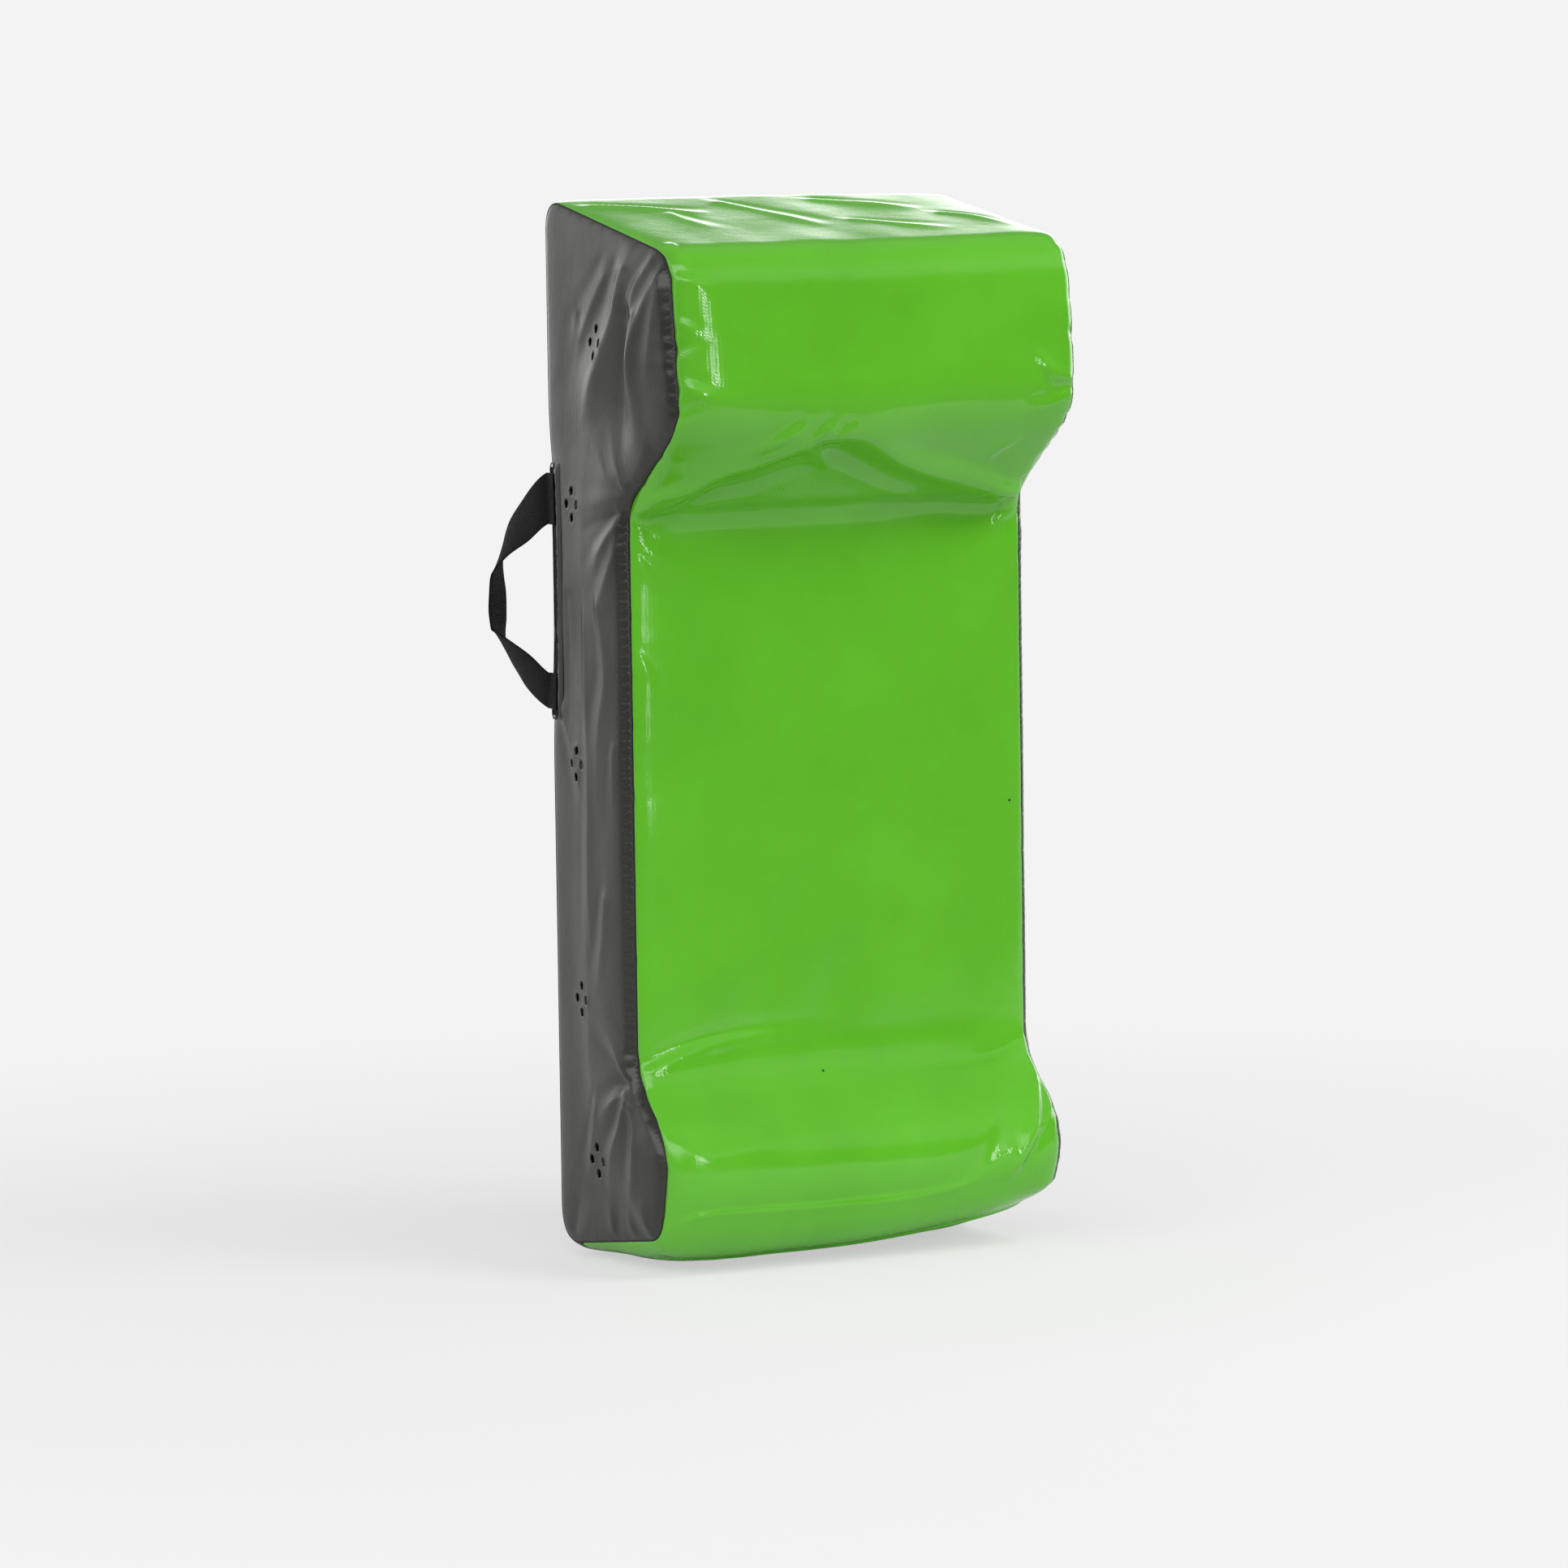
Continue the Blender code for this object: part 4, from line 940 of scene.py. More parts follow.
def make_back():
    step = cloth_step()
    for side, word, seed in ((-1, "left", 11), (1, "right", 12)):
        inner = np.linspace(ZIP_SLOT_HALF, WRAP_HALF, int((WRAP_HALF - ZIP_SLOT_HALF) / step))
        columns = side * np.concatenate([[0.0003, 0.0030], inner])
        grid, flat, x, way, _ = wrap_grid(columns, "back", step)
        height = flat[..., 1]
        along = np.broadcast_to(way[:, None], x.shape)
        inset = np.broadcast_to(WRAP_HALF - np.abs(columns), x.shape)
        lift = fold_height(x, height, BACK_FOLDS, SIDE_STEEP)
        lift += undulation(x, along, UNDULATION_LENGTH, seed) * UNDULATION
        lift *= np.clip(inset / LIFT_START, 0, 1)
        lift *= np.clip((np.abs(x) - ZIP_CLEAR) / ZIP_FADE, 0, 1) * np.clip(height / FLOOR_FADE, 0, 1)
        from_middle = np.abs(height - sum(STRIP_SPAN) / 2)
        under_loop = np.clip((np.abs(x) - LOOP_REST_FROM) / LOOP_REST_BORDER, 0, 1)
        under_loop *= np.clip((LOOP_REST_HALF - from_middle) / LOOP_REST_BORDER, 0, 1)
        lift *= 1 - under_loop
        middle_height = (height[:-1, 0] + height[1:, 0]) / 2
        keep = np.ones((x.shape[0] - 1, x.shape[1] - 1), bool)
        keep[(middle_height > ZIP_SLOT_SPAN[0]) & (middle_height < ZIP_SLOT_SPAN[1]), :2] = False
        uv = np.stack([x, along], -1).reshape(-1, 2)
        cover, used = sewn_panel(f"back_panel_{word}", grid, lift, uv, CHARCOAL, keep)
        inset = np.minimum(inset, np.abs(x) - ZIP_SEAM)
        held = np.maximum(held_by(inset, BACK_HOLD), under_loop)
        held[[0, -1]] = 1
        lay_on_foam(cover, held.ravel()[used], inset.ravel()[used], np.full(len(used), BACK_SLACK))
        finish_piece(cover, "shield", (f"back_cover_{word}",))


def vent_centres():
    for depth, height in VENT_GROUPS:
        for turn in range(4):
            angle = math.pi / 2 * turn
            yield depth + VENT_REACH * math.cos(angle), height + VENT_REACH * math.sin(angle)


def nearest_on(points, line):
    """The least distance from each point to a line, and the number of the line's nearest point."""
    nearest = np.full(len(points), 1e9)
    number = np.zeros(len(points))
    for k, (a, b) in enumerate(zip(line, line[1:])):
        way = b - a
        t = np.clip(((points - a) @ way) / max(way @ way, 1e-12), 0, 1)
        gap = np.linalg.norm(points - a - t[:, None] * way, axis=1)
        number = np.where(gap < nearest, k + t, number)
        nearest = np.minimum(nearest, gap)
    return nearest, number


def soft_nearest(points, line, gap):
    """Distance from a line and height of its nearest point, without creases where that point jumps.

    A line's length over the fourth power of the distance adds up to pi / 2 over the distance cubed.
    """
    middles = (line[1:] + line[:-1]) / 2
    lengths = np.linalg.norm(np.diff(line, axis=0), axis=1)
    weights = lengths * np.linalg.norm(points[:, None] - middles[None], axis=-1) ** -4
    total = weights.sum(1)
    soft = (2 / math.pi * total) ** (-1 / 3)
    return gap + (soft - gap) * np.clip(gap / SOFT_FROM, 0, 1), weights @ middles[:, 1] / total


def on_front(outline):
    """Which of an outline's points lie on the front seam, from the brow down to the toe."""
    return (outline[:, 0] > 0.15) & (outline[:, 1] < 0.956) & (outline[:, 1] > 0.037)


def side_pattern(step):
    """The side panel's flat pattern: points, triangles, distance in from the seam and its run there.

    Then come the distance from the front seam and the height of its nearest point.
    """
    loop, _, _, run = outlines(step)
    before, after = np.roll(loop, 1, axis=0), np.roll(loop, -1, axis=0)
    way = after - before
    inward = np.stack([way[:, 1], -way[:, 0]], -1) / np.linalg.norm(way, axis=1)[:, None]
    rim = loop + inward * SEAM_GAP
    spaced = [0]
    for k in range(1, len(rim)):
        if np.linalg.norm(rim[k] - rim[spaced[-1]]) > step * 0.3:
            spaced.append(k)
    rim, run = rim[spaced], run[spaced]
    closed = np.vstack([rim, rim[:1]])
    front = rim[on_front(rim)]
    centres = np.array(list(vent_centres()))
    angles = np.arange(VENT_SIDES) * 2 * math.pi / VENT_SIDES
    circle = VENT_RADIUS * np.stack([np.cos(angles), np.sin(angles)], -1)
    low, high = rim.min(0), rim.max(0)
    rows = []
    for k, height in enumerate(np.arange(low[1], high[1], step * 0.87)):
        depths = np.arange(low[0] + (step / 2 if k % 2 else 0), high[0], step)
        rows.append(np.stack([depths, np.full(len(depths), height)], -1))
    inner = np.concatenate(rows)
    inside = np.zeros(len(inner), bool)
    for a, b in zip(closed, closed[1:]):
        spans = (a[1] > inner[:, 1]) != (b[1] > inner[:, 1])
        rise = b[1] - a[1] if b[1] != a[1] else 1.0
        inside ^= spans & (inner[:, 0] < a[0] + (inner[:, 1] - a[1]) * (b[0] - a[0]) / rise)
    clear = inside & (nearest_on(inner, closed)[0] > step * 0.55)
    gap = np.linalg.norm(inner[:, None] - centres[None], axis=-1).min(1)
    inner = inner[clear & (gap > VENT_RADIUS + step * 0.35)]
    points, edges = [], []
    for ring in [rim, *(centre + circle for centre in centres)]:
        first = len(points)
        points += [tuple(p) for p in ring]
        edges += [(first + k, first + (k + 1) % len(ring)) for k in range(len(ring))]
    points += [tuple(p) for p in inner]
    result = delaunay_2d_cdt([Vector(p) for p in points], edges, [], 1, 1e-6)
    flat = np.array([tuple(p) for p in result[0]])
    triangles = np.array(result[2])
    middles = flat[triangles].mean(1)
    in_vent = np.linalg.norm(middles[:, None] - centres[None], axis=-1).min(1) < VENT_RADIUS * 0.97
    triangles = triangles[~in_vent]
    used = np.unique(triangles)
    order = np.full(len(flat), -1)
    order[used] = np.arange(len(used))
    flat = flat[used]
    inset, number = nearest_on(flat, closed)
    front_gap, front_height = soft_nearest(flat, front, nearest_on(flat, front)[0])
    return flat, order[triangles], inset, np.interp(number, np.arange(len(run)), run), front_gap, front_height


def side_surface(side, flat, inset, run, front_gap, front_height):
    """How far a side panel stands out past the seam."""
    crown = SIDE_CROWN * np.sqrt(1 - (1 - np.clip(inset / SIDE_ROLL, 0, 1)) ** 2)
    turn = np.sqrt(1 - (1 - np.clip(front_gap / SHOULDER_ROLL, 0, 1)) ** 2.6)
    shoulder = SHOULDER_RISE * turn * np.interp(front_height, *zip(*SHOULDER[side]))
    slope = FRONT_FALL_DEPTH * (1 - (1 - np.clip(front_gap / FRONT_FALL_REACH, 0, 1)) ** 2)
    shoulder += slope * np.interp(front_height, *zip(*FRONT_FALL))
    nearness = np.clip(inset / np.maximum(front_gap, 1e-9), 0, 1)
    shoulder *= np.exp(-((front_gap / SHOULDER_FADE) ** 2)) * nearness**2 * (3 - 2 * nearness)
    seam, _, _, seam_run = outlines(cloth_step())
    gathered = drawn_in(run, gathers(side, seam, seam_run))
    broad = [
        (line, width * SIDE_FOLD_WIDTH, height * SIDE_FOLD_HEIGHT, fade)
        for line, width, height, fade in SIDE_FOLDS
    ]
    lift = fold_height(flat[:, 0], flat[:, 1], broad, SIDE_STEEP)
    lift += undulation(flat[:, 0], flat[:, 1] * 0.45, UNDULATION_LENGTH * 0.6, 5 + side) * UNDULATION
    centres = np.array(list(vent_centres()))
    gap = np.linalg.norm(flat[:, None] - centres[None], axis=-1).min(1)
    lip = VENT_LIP * np.exp(-((gap - VENT_RADIUS) / VENT_LIP_WIDTH) ** 2)
    tucked = TUCK_DEPTH * np.exp(-inset / TUCK_FADE) + gathered * np.exp(-inset / GATHER_FADE)
    tucked += pulled_in(flat[:, 0], flat[:, 1])
    return crown + shoulder + lift * np.clip(inset / FOLDS_START[side], 0, 1) + lip - tucked


def make_sides():
    flat, triangles, inset, run, front_gap, front_height = side_pattern(cloth_step())
    for side, word in ((-1, "left"), (1, "right")):
        out = HALF_WIDTH + side_surface(side, flat, inset, run, front_gap, front_height)
        points = in_world(side * out, flat[:, 0], flat[:, 1])
        a, b, c = (points[triangles[:, k]] for k in range(3))
        outward = np.cross(b - a, c - a)[:, 0].sum() * side > 0
        faces = triangles if outward else triangles[:, ::-1]
        cover = mesh_object(f"side_panel_{word}", points, faces.tolist(), flat, CHARCOAL)
        from_middle = np.abs(flat[:, 1] - sum(STRIP_SPAN) / 2)
        under_base = (flat[:, 0] < SIDE_ROLL) & (from_middle < BASE_HOLD_HALF)
        held = np.where(under_base, 1.0, held_by(inset, SIDE_HOLD))
        lay_on_foam(cover, held, inset, np.full(len(flat), SIDE_SLACK))
        finish_piece(cover, "shield", (f"side_cover_{word}",))


def tube_along(name, points, radius, finish):
    """A round closed tube along points."""
    curve = bpy.data.curves.new(name, "CURVE")
    curve.dimensions = "3D"
    curve.bevel_depth = radius
    curve.bevel_resolution = 1
    spline = curve.splines.new("POLY")
    spline.points.add(len(points) - 1)
    for point, co in zip(spline.points, points):
        point.co = (*co, 1)
    spline.use_cyclic_u = True
    drawn = new_object(name + "_line", curve)
    graph = bpy.context.evaluated_depsgraph_get()
    mesh = bpy.data.meshes.new_from_object(drawn.evaluated_get(graph))
    bpy.data.objects.remove(drawn, do_unlink=True)
    mesh.materials.clear()
    mesh.materials.append(finish_of(finish))
    mesh.shade_smooth()
    return new_object(name, mesh)


def make_seams():
    """The dark welt of folded allowance and thread that shows in the groove between two panels. Its
    near-black is partly painted shade, standing in for the groove's own shadow.
    """
    seam, _, _, run = outlines(cloth_step())
    way = np.roll(seam, -1, axis=0) - np.roll(seam, 1, axis=0)
    groove = np.stack([way[:, 1], -way[:, 0]], -1) / np.linalg.norm(way, axis=1)[:, None] * WELT_DEPTH
    for side, word in ((-1, "left"), (1, "right")):
        inward = drawn_in(run, gathers(side, seam, run)) + pulled_in(seam[:, 0], seam[:, 1])
        x = side * (HALF_WIDTH - WELT_DEPTH - inward)
        line = in_world(x, seam[:, 0] + groove[:, 0], seam[:, 1] + groove[:, 1])
        # The welt's black is the dark thread and partly painted shade of the groove
        welt = tube_along(f"seam_welt_{word}", line, WELT_RADIUS, THREAD)
        finish_piece(welt, "shield")


def rim_point(side, inset, height, lift):
    """Over a side panel's rim beside its back seam, raised off the cloth."""
    share = min(max(inset / SIDE_ROLL, 0.0), 1.0)
    nudged = min(max((inset + NUDGE) / SIDE_ROLL, 0.0), 1.0)
    swell = SIDE_CROWN * math.sqrt(1 - (1 - share) ** 2)
    slope = (SIDE_CROWN * math.sqrt(1 - (1 - nudged) ** 2) - swell) / NUDGE
    pull, nudged_pull = pulled_in(inset, height), pulled_in(inset + NUDGE, height)
    normal = Vector((-slope + (nudged_pull - pull) / NUDGE, 1)).normalized()
    flat = Vector((inset, HALF_WIDTH + swell - pull)) + normal * lift
    return np.array([side * flat.y, BACK_PLANE - flat.x, height])


def ribbon(name, rows, thickness, finish, width, length):
    """A band through rows of points, with soft selvedges."""
    grid = np.array(rows)
    count, columns = grid.shape[:2]
    uv = np.stack(np.meshgrid(np.linspace(0, width, columns), np.linspace(0, length, count)), -1)
    obj = mesh_object(name, grid.reshape(-1, 3), grid_faces(count, columns), uv.reshape(-1, 2), finish)
    solid = obj.modifiers.new("Thickness", "SOLIDIFY")
    solid.thickness = thickness
    solid.offset = 0
    soft = obj.modifiers.new("Selvedge", "BEVEL")
    soft.width = thickness * 0.3
    soft.segments = 2
    soft.limit_method = "ANGLE"
    return obj


def loop_rows(side, samples, columns):
    """Rows across the webbing from the upper sewn end, round the loop, to the lower sewn end."""
    high = sum(UPPER_TAB) / 2
    low = sum(LOWER_TAB) / 2
    reach = LOOP_REACH - LOOP_START
    route = [Vector((0, LOOP_START + reach * back, low + (high - low) * up)) for back, up in LOOP_ROUTE]
    count = (len(route) - 1) * samples
    centres = [through(route, step / samples) for step in range(count + 1)]
    origin = Vector((side * (HALF_WIDTH + LOOP_OUT), BACK_PLANE + LOOP_BACK, 0))
    free = []
    for step, centre in enumerate(centres):
        way = (centres[min(step + 1, count)] - centres[max(step - 1, 0)]).normalized()
        share = step / count
        across = Vector((0, -way.z, way.y))
        half = bpy.context.scene.shield_settings.webbing_width / 2
        for near, upright, tab in (
            (share, Vector((0, 0, 1)), UPPER_TAB), (1 - share, Vector((0, 0, -1)), LOWER_TAB)
        ):
            if near < LOOP_BLEND_RATIO:
                level = 1 - near / LOOP_BLEND_RATIO
                ease = level * level * (3 - 2 * level)
                half += ((tab[1] - tab[0]) / 2 - half) * ease
                across = across.lerp(upright, ease).normalized()
        twist = math.radians(LOOP_TWIST) * math.sin(math.pi * share) ** 2
        width = (across * math.cos(twist) + Vector((math.sin(twist), 0, 0))) * half
        row = []
        for k in range(columns):
            point = centre + width * (1 - 2 * k / (columns - 1))
            pull = pulled_in(0.0, centre.z) * math.exp(-centre.y / LOOP_PULL_END)
            x = origin.x - side * (point.x + pull)
            row.append(np.array([x, origin.y + point.y, point.z]))
        free.append(row)
    lift = STRIP_GAP + WEBBING_THICKNESS * 1.5 + 0.0004
    upper, lower = [], []
    for inset in np.linspace(TAB_EDGE + TAB_WIDTH, TAB_EDGE + 0.0015, 8):
        upper.append([rim_point(side, inset, z, lift) for z in np.linspace(*UPPER_TAB[::-1], columns)])
        lower.append([rim_point(side, inset, z, lift) for z in np.linspace(*LOWER_TAB, columns)])
    return upper + free + lower[::-1]


def make_handles():
    for side, word in ((-1, "left"), (1, "right")):
        lift = STRIP_GAP + WEBBING_THICKNESS / 2
        insets = np.linspace(STRIP_EDGE, STRIP_EDGE + STRIP_WIDTH, 9)
        rows = [[rim_point(side, inset, z, lift) for inset in insets] for z in np.linspace(*STRIP_SPAN, 60)]
        span = STRIP_SPAN[1] - STRIP_SPAN[0]
        strip = ribbon(f"handle_base_{word}", rows, WEBBING_THICKNESS, WEBBING, STRIP_WIDTH, span)
        finish_piece(strip, "shield", (f"handle_strip_{word}",))
        width = bpy.context.scene.shield_settings.webbing_width
        rows = loop_rows(side, 8, 11)
        band = ribbon(f"hand_loop_{word}", rows, WEBBING_THICKNESS, WEBBING, width, LOOP_LENGTH)
        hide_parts(f"handle_upper_end_{word}", f"handle_lower_end_{word}", f"handle_loop_{word}")
        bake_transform(band)
        make_stitches(side, word)
        make_lips(side, word)


def make_stitches(side, word):
    """A stitched box with a cross on each sewn end, in bonded thread."""
    bm = bmesh.new()
    lift = STRIP_GAP + WEBBING_THICKNESS * 2 + 0.0007
    for low, high in (UPPER_TAB, LOWER_TAB):
        left, right = TAB_EDGE + 0.0035, TAB_EDGE + TAB_WIDTH - 0.0025
        bottom, top = low + 0.0035, high - 0.0035
        corners = [(left, bottom), (right, bottom), (right, top), (left, top)]
        lines = list(zip(corners, corners[1:] + corners[:1]))
        lines += [(corners[0], corners[2]), (corners[1], corners[3])]
        for (u0, v0), (u1, v1) in lines:
            count = max(2, int(math.hypot(u1 - u0, v1 - v0) / STITCH_PITCH))
            for k in range(count):
                shares = [(k + share) / count for share in STITCH_SHARE]
                ends = [
                    Vector(rim_point(side, u0 + (u1 - u0) * t, v0 + (v1 - v0) * t, lift)) for t in shares
                ]
                way = ends[1] - ends[0]
                turn = way.to_track_quat("Z", "Y").to_matrix().to_4x4()
                stretch = Matrix.Diagonal((1, 1, way.length / (2 * STITCH_RADIUS), 1))
                bmesh.ops.create_uvsphere(
                    bm, u_segments=6, v_segments=5, radius=STITCH_RADIUS,
                    matrix=Matrix.Translation((ends[0] + ends[1]) / 2) @ turn @ stretch,
                )
    mesh = bpy.data.meshes.new(f"box_stitches_{word}")
    bm.to_mesh(mesh)
    bm.free()
    mesh.shade_smooth()
    mesh.materials.append(finish_of(THREAD))
    finish_piece(new_object(mesh.name, mesh), "shield")


def make_lips(side, word):
    """The puckered edges of PVC that lap over both sides of the webbing base."""
    heights = np.linspace(STRIP_SPAN[0] - 0.004, STRIP_SPAN[1] + 0.004, 110)
    for edge, sign, seed in ((STRIP_EDGE, 1, 21), (STRIP_EDGE + STRIP_WIDTH, -1, 22)):
        jag = np.abs(undulation(heights, heights * 0, 0.030, seed + (side > 0))) * 0.0024
        jag += np.abs(undulation(heights, heights * 0, 0.009, seed + 5)) * 0.0011
        rows = []
        for height, reach in zip(heights, jag):
            from_end = min(height - heights[0], heights[-1] - height)
            over = STRIP_GAP + (WEBBING_THICKNESS + 0.0007) * min(from_end / 0.006, 1.0) ** 0.5
            # From its root on the cover, up the webbing's edge, to its ragged end
            rows.append([
                rim_point(side, max(edge - sign * 0.0045, 0.0006), height, 0.0002),
                rim_point(side, max(edge - sign * 0.0012, 0.0008), height, (0.0002 + over) * 0.6),
                rim_point(side, edge + sign * 0.0004, height, over),
                rim_point(side, edge + sign * (0.0010 + reach), height, over * 0.97),
            ])
        where = "back" if sign > 0 else "front"
        lip = ribbon(f"base_lip_{where}_{word}", rows, 0.0006, CHARCOAL, 0.008, heights[-1] - heights[0])
        finish_piece(lip, "shield")


def make_foam():
    """The cut foam blocks, with a foam saw's soft edges, pressed in where the cover lies closer."""
    covers = [
        BVHTree.FromPolygons(
            points_of(panel.data).tolist(), [tuple(face.vertices) for face in panel.data.polygons]
        )
        for panel in bpy.context.scene.objects if "_panel" in panel.name
    ]
    for node in ("foam_back_slab", "foam_front_slab", "foam_head_block", "foam_foot_block"):
        block = new_object(node.replace("foam_", "cut_foam_"), frame["nodes"][node].data.copy())
        remesh = block.modifiers.new("Cells", "REMESH")
        remesh.mode = "VOXEL"
        remesh.voxel_size = FOAM_CELL
        relax = block.modifiers.new("Soft edges", "SMOOTH")
        relax.factor = 0.5
        relax.iterations = 4
        graph = bpy.context.evaluated_depsgraph_get()
        block.data = bpy.data.meshes.new_from_object(block.evaluated_get(graph))
        block.modifiers.clear()
        for vertex in block.data.vertices:
            for cover in covers:
                place, normal, _, gap = cover.find_nearest(vertex.co)
                if gap < FOAM_PRESS and (vertex.co - place).dot(normal) > -FOAM_CLEARANCE:
                    vertex.co = place - normal * FOAM_CLEARANCE
        block.data.materials.clear()
        block.data.materials.append(finish_of(FOAM))
        block.data.shade_smooth()
        finish_piece(block, "shield", (node,))


def finish_zip():
    """The zip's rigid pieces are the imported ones, with moulded and cast finishes."""
    for node, obj in frame["nodes"].items():
        if node.startswith("zip_"):
            obj.data.materials.clear()
            obj.data.materials.append(finish_of(ZINC if node in ("zip_slider", "zip_pull") else ACETAL))


def area_lamp(name, azimuth, elevation, distance, size, power, mirrored):
    """A softbox round the shield. Azimuth 0 is in front of it and 90 at its right."""
    a, e = math.radians(azimuth), math.radians(elevation)
    back = Vector((math.sin(a) * math.cos(e), -math.cos(a) * math.cos(e), math.sin(e)))
    lamp = bpy.data.lights.new(name, "AREA")
    lamp.shape = "RECTANGLE"
    lamp.size, lamp.size_y = size
    lamp.energy = power
    obj = new_object(name, lamp)
    obj.location = Vector((0, 0, CAMERA_TARGET_HEIGHT)) + back * distance
    obj.rotation_euler = back.to_track_quat("Z", "Y").to_euler()
    obj.visible_glossy = mirrored


def studio_world():
    """White walls lit unevenly, most from the front left and behind, and plain white to the camera."""
    world = bpy.data.worlds.new("studio")
    world.use_nodes = True
    tree = world.node_tree
    tree.nodes.clear()
    direction = add_node(tree, "ShaderNodeTexCoord").outputs["Generated"]
    axes = add_node(tree, "ShaderNodeSeparateXYZ", links={"Vector": direction})
    right, behind, above, overhead = (
        add_node(
            tree, "ShaderNodeMapRange", {"interpolation_type": "SMOOTHSTEP"},
            {"From Min": start, "From Max": end}, {"Value": axes.outputs[axis]}
        ).outputs[0]
        for axis, start, end in (("X", -0.25, 0.25), ("Y", -0.15, 0.25), ("Z", 0.22, 0.38), ("Z", 0.57, 0.73))
    )
    rows = []
    for row in WALL_GLOW:
        front, back = (
            add_node(
                tree, "ShaderNodeMix", values={"A": pair[0], "B": pair[1]}, links={"Factor": right}
            ).outputs[0]
            for pair in row
        )
        around = add_node(tree, "ShaderNodeMix", links={"Factor": behind, "A": front, "B": back})
        rows.append(around.outputs[0])
    walls = add_node(tree, "ShaderNodeMix", links={"Factor": above, "A": rows[0], "B": rows[1]}).outputs[0]
    strength = add_node(
        tree, "ShaderNodeMix", values={"B": CEILING_GLOW}, links={"Factor": overhead, "A": walls}
    ).outputs[0]
    lit = add_node(tree, "ShaderNodeBackground", values={"Color": (1, 1, 1, 1)}, links={"Strength": strength})
    shown = add_node(tree, "ShaderNodeBackground", values={"Color": linear("#f3f3f3")})
    ray = add_node(tree, "ShaderNodeLightPath").outputs["Is Camera Ray"]
    mixed = add_node(
        tree, "ShaderNodeMixShader", links={0: ray, 1: lit.outputs[0], 2: shown.outputs[0]}
    )
    add_node(tree, "ShaderNodeOutputWorld", links={"Surface": mixed.outputs[0]})
    bpy.context.scene.world = world


def studio_floor():
    """Matte white paint under the shield that fades into the backdrop to the camera."""
    material, tree = new_material("matte_white_paint")
    spot = add_node(tree, "ShaderNodeTexCoord").outputs["Object"]
    away = add_node(tree, "ShaderNodeVectorMath", {"operation": "LENGTH"}, links={0: spot}).outputs["Value"]
    fade = add_node(
        tree, "ShaderNodeMapRange", {"interpolation_type": "SMOOTHSTEP"},
        {"From Min": 0.25, "From Max": 1.9, "To Min": 0.60, "To Max": 1.0}, {"Value": away},
    ).outputs[0]
    ray = add_node(tree, "ShaderNodeLightPath").outputs["Is Camera Ray"]
    front = add_node(tree, "ShaderNodeSeparateXYZ", links={"Vector": spot}).outputs["Y"]
    on_sweep = add_node(
        tree, "ShaderNodeMapRange", {"interpolation_type": "SMOOTHSTEP"},
        {"From Min": -SWEEP_END - SWEEP_FADE, "From Max": -SWEEP_END}, {"Value": front},
    ).outputs[0]
    white = add_node(tree, "ShaderNodeMath", {"operation": "MAXIMUM"}, links={0: ray, 1: on_sweep}).outputs[0]
    shade = add_node(
        tree, "ShaderNodeMix", {"data_type": "RGBA"}, {"A": linear("#8c8c8c"), "B": linear("#f1f1f1")},
        {"Factor": white},
    ).outputs["Result"]
    paint = add_node(tree, "ShaderNodeBsdfDiffuse", links={"Color": shade}).outputs[0]
    glow = add_node(tree, "ShaderNodeEmission", values={"Color": linear("#f3f3f3")}).outputs[0]
    seen = add_node(tree, "ShaderNodeMath", {"operation": "MULTIPLY"}, links={0: ray, 1: fade}).outputs[0]
    mixed = add_node(tree, "ShaderNodeMixShader", links={0: seen, 1: paint, 2: glow})
    add_node(tree, "ShaderNodeOutputMaterial", links={"Surface": mixed.outputs[0]})
    bpy.ops.mesh.primitive_plane_add(size=30, location=(0, 0, -0.0005))
    floor = bpy.context.object
    floor.name = "studio_floor"
    floor.data.materials.append(material)


def photo_camera():
    azimuth, pitch, roll = (math.radians(v) for v in (CAMERA_AZIMUTH, CAMERA_PITCH, CAMERA_ROLL))
    level = math.cos(pitch)
    view = Vector((math.sin(azimuth) * level, math.cos(azimuth) * level, -math.sin(pitch)))
    right = Vector((math.cos(azimuth), -math.sin(azimuth), 0))
    up = right.cross(view)
    turned_right = right * math.cos(roll) + up * math.sin(roll)
    turned_up = up * math.cos(roll) - right * math.sin(roll)
    target = Vector((0, BACK_PLANE, CAMERA_TARGET_HEIGHT))
    lens = bpy.data.cameras.new("photo_camera")
    lens.sensor_width = SENSOR_WIDTH
    lens.lens = FOCAL_PIXELS / PHOTO_PIXELS * SENSOR_WIDTH
    lens.clip_end = 100
    camera = new_object("photo_camera", lens)
    rotation = Matrix((turned_right, turned_up, -view)).transposed().to_4x4()
    position = target - view * CAMERA_DISTANCE + right * CAMERA_SIDE + up * CAMERA_RISE
    camera.matrix_world = Matrix.Translation(position) @ rotation
    bpy.context.scene.camera = camera


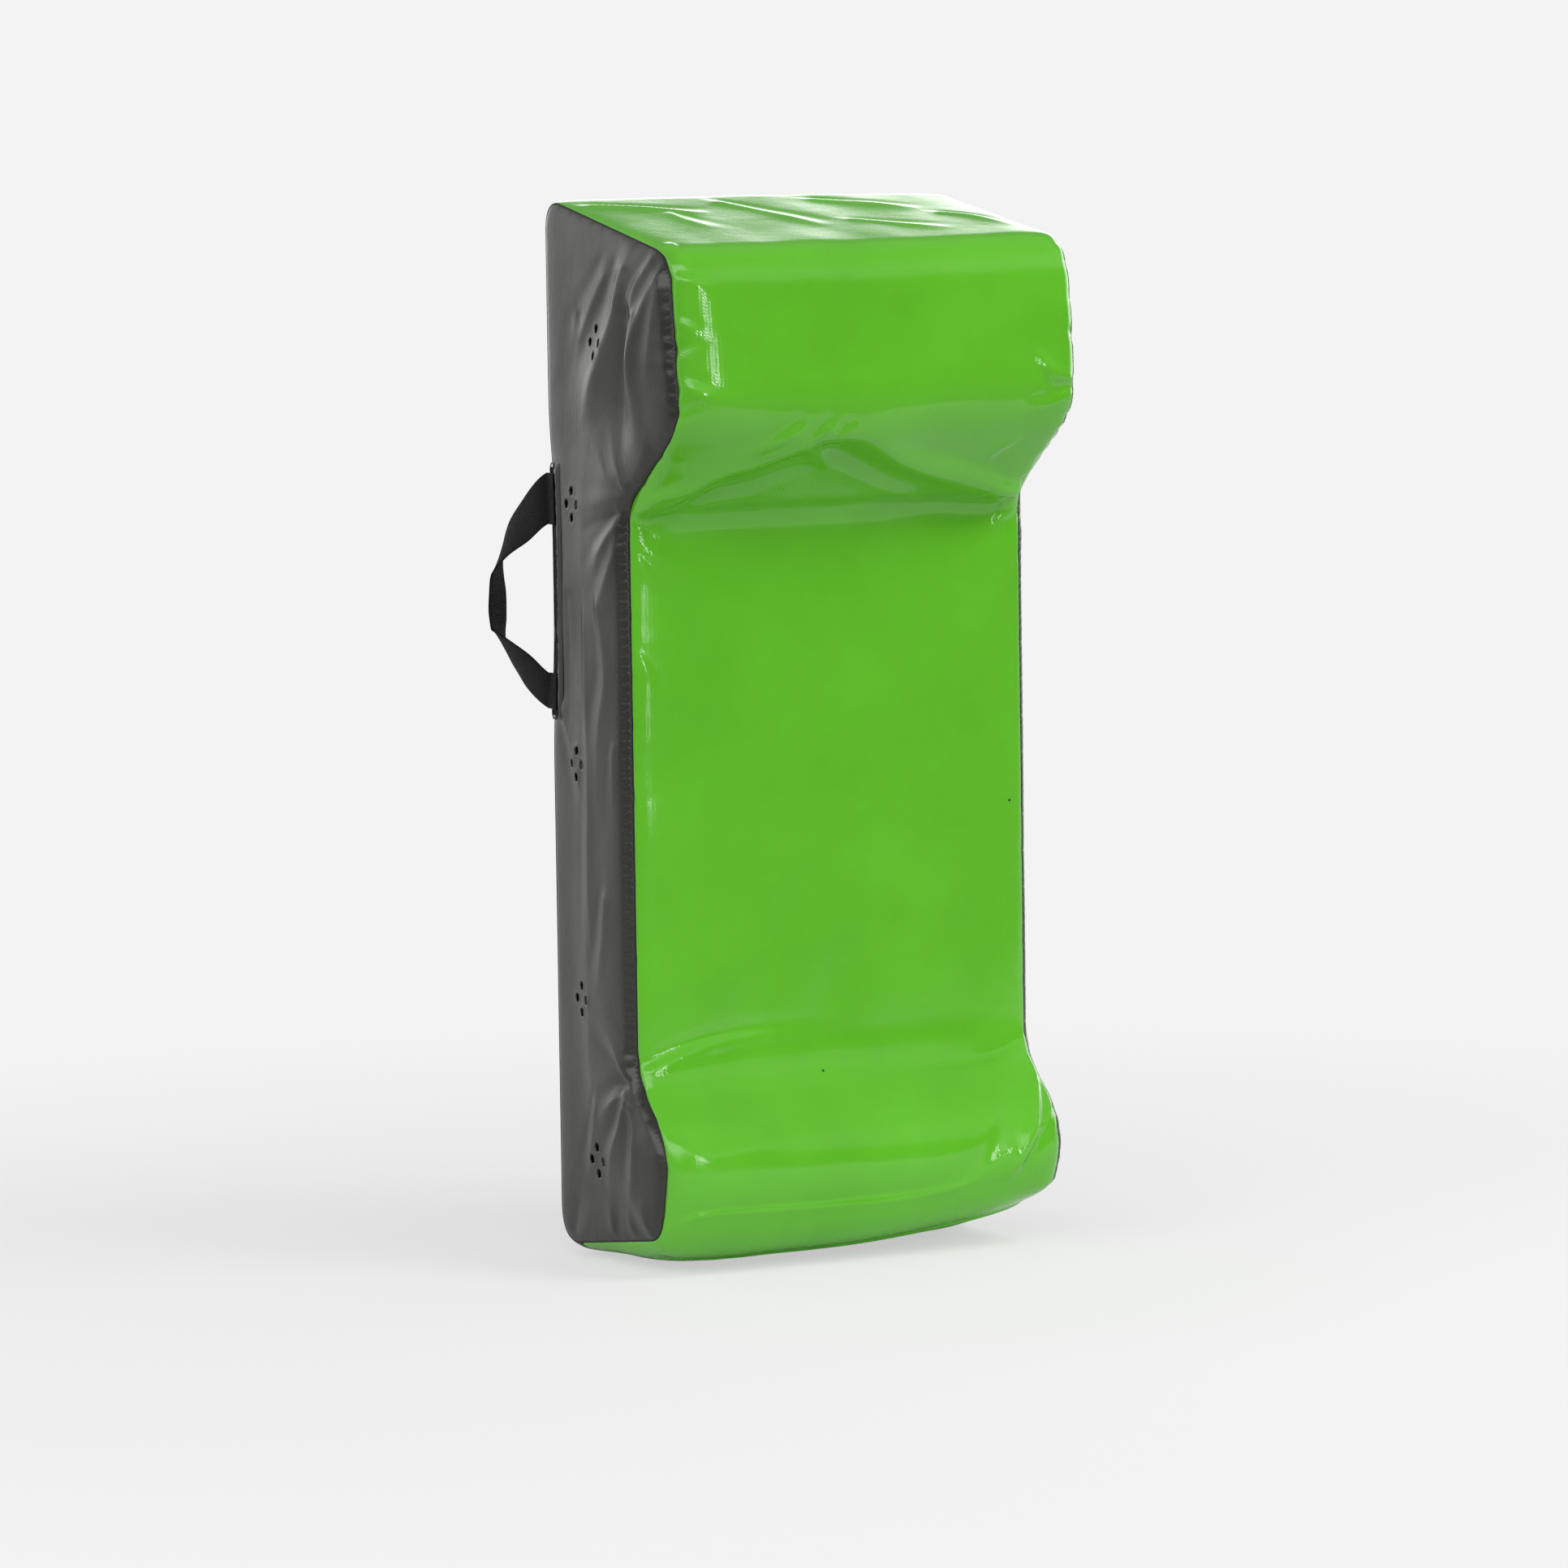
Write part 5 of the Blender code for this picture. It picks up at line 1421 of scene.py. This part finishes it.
class ShieldSettings(bpy.types.PropertyGroup):
    """Sizes, colours and lamp powers that a user would change."""

    front_colour: bpy.props.FloatVectorProperty(
        name="Front colour", description="Colour of the coated fabric over the top and down the front",
        default=linear("#5db524")[:3], min=0.0, max=1.0, subtype="COLOR",
    )
    side_colour: bpy.props.FloatVectorProperty(
        name="Side colour", description="Colour of the coated fabric of the sides and the back",
        default=linear("#272722")[:3], min=0.0, max=1.0, subtype="COLOR",
    )
    fold_strength: bpy.props.FloatProperty(
        name="Fold strength", description="Height of the drawn folds, as a share of the usual height",
        default=1.0, min=0.0, max=2.0, subtype="FACTOR",
    )
    cloth_slack: bpy.props.FloatProperty(
        name="Cloth slack", description="How much larger than the foam the cloth is cut at most",
        default=0.03, min=0.0, max=0.08, subtype="FACTOR",
    )
    cloth_step: bpy.props.FloatProperty(
        name="Cloth step", description="Distance between neighbouring points of a panel",
        default=0.005, min=0.002, max=0.02, subtype="DISTANCE", unit="LENGTH",
    )
    webbing_width: bpy.props.FloatProperty(
        name="Webbing width", description="Width of the hand loops' webbing between its sewn ends",
        default=0.040, min=0.025, max=0.050, subtype="DISTANCE", unit="LENGTH",
    )
    key_power: bpy.props.FloatProperty(
        name="Key power", description="Power of the softbox at the front right", default=44.0, min=0.0,
        unit="POWER",
    )
    edge_power: bpy.props.FloatProperty(
        name="Edge power", description="Power of the narrow softbox beside the camera", default=13.0, min=0.0,
        unit="POWER",
    )


class SHIELD_OT_stage(bpy.types.Operator):
    """Sets up the floor, the light and the camera."""

    bl_idname = "shield.stage"
    bl_label = "Stage"

    def execute(self, context):
        settings = context.scene.shield_settings
        photo_camera()
        studio_world()
        studio_floor()
        area_lamp("key_softbox", 40, 44, 3.2, (1.6, 1.6), settings.key_power, False)
        area_lamp("edge_softbox", 11, 6, 4.0, (0.13, 1.3), settings.edge_power, True)
        context.scene.view_settings.view_transform = "Standard"
        return {"FINISHED"}


class SHIELD_OT_front(bpy.types.Operator):
    """Builds the green panel over the top, down the front and under the foot."""

    bl_idname = "shield.front"
    bl_label = "Front panel"

    def execute(self, context):
        make_front()
        return {"FINISHED"}


class SHIELD_OT_sides(bpy.types.Operator):
    """Builds the two vented side panels."""

    bl_idname = "shield.sides"
    bl_label = "Side panels"

    def execute(self, context):
        make_sides()
        return {"FINISHED"}


class SHIELD_OT_back(bpy.types.Operator):
    """Builds the two halves of the back, with the zip's slot between them."""

    bl_idname = "shield.back"
    bl_label = "Back panels"

    def execute(self, context):
        make_back()
        return {"FINISHED"}


class SHIELD_OT_wrinkles(bpy.types.Operator):
    """Lets the panels wrinkle on the foam, and gives them their thickness."""

    bl_idname = "shield.wrinkles"
    bl_label = "Wrinkles"

    def execute(self, context):
        wrinkle([obj for obj in context.scene.objects if "Cloth" in obj.modifiers])
        return {"FINISHED"}


class SHIELD_OT_seams(bpy.types.Operator):
    """Builds the welts in the seams."""

    bl_idname = "shield.seams"
    bl_label = "Seams"

    def execute(self, context):
        make_seams()
        return {"FINISHED"}


class SHIELD_OT_handles(bpy.types.Operator):
    """Builds the webbing bases and the hand loops."""

    bl_idname = "shield.handles"
    bl_label = "Hand loops"

    def execute(self, context):
        make_handles()
        return {"FINISHED"}


class SHIELD_OT_foam(bpy.types.Operator):
    """Builds the foam inside the cover."""

    bl_idname = "shield.foam"
    bl_label = "Foam"

    def execute(self, context):
        make_foam()
        return {"FINISHED"}


class SHIELD_OT_zip(bpy.types.Operator):
    """Gives the zip its finishes."""

    bl_idname = "shield.zip"
    bl_label = "Zip"

    def execute(self, context):
        finish_zip()
        return {"FINISHED"}


class SHIELD_PT_panel(bpy.types.Panel):
    """Lists the steps in the 3D view's sidebar."""

    bl_idname = "SHIELD_PT_panel"
    bl_label = "Padded contact shield"
    bl_space_type = "VIEW_3D"
    bl_region_type = "UI"
    bl_category = "Shield"

    def draw(self, context):
        settings = context.scene.shield_settings
        for name in ShieldSettings.__annotations__:
            self.layout.prop(settings, name)
        for operator in OPERATORS:
            self.layout.operator(operator.bl_idname)


OPERATORS = (
    SHIELD_OT_stage, SHIELD_OT_front, SHIELD_OT_sides, SHIELD_OT_back, SHIELD_OT_wrinkles,
    SHIELD_OT_seams, SHIELD_OT_handles, SHIELD_OT_foam, SHIELD_OT_zip,
)
CLASSES = (ShieldSettings, *OPERATORS, SHIELD_PT_panel)


def register():
    for cls in CLASSES:
        bpy.utils.register_class(cls)
    bpy.types.Scene.shield_settings = bpy.props.PointerProperty(type=ShieldSettings)


def unregister():
    del bpy.types.Scene.shield_settings
    for cls in reversed(CLASSES):
        bpy.utils.unregister_class(cls)


def main():
    register()
    bpy.ops.shield.stage()
    bpy.ops.shield.front()
    bpy.ops.shield.sides()
    bpy.ops.shield.back()
    bpy.ops.shield.wrinkles()
    bpy.ops.shield.seams()
    bpy.ops.shield.handles()
    bpy.ops.shield.foam()
    bpy.ops.shield.zip()


if __name__ == "__main__":
    main()
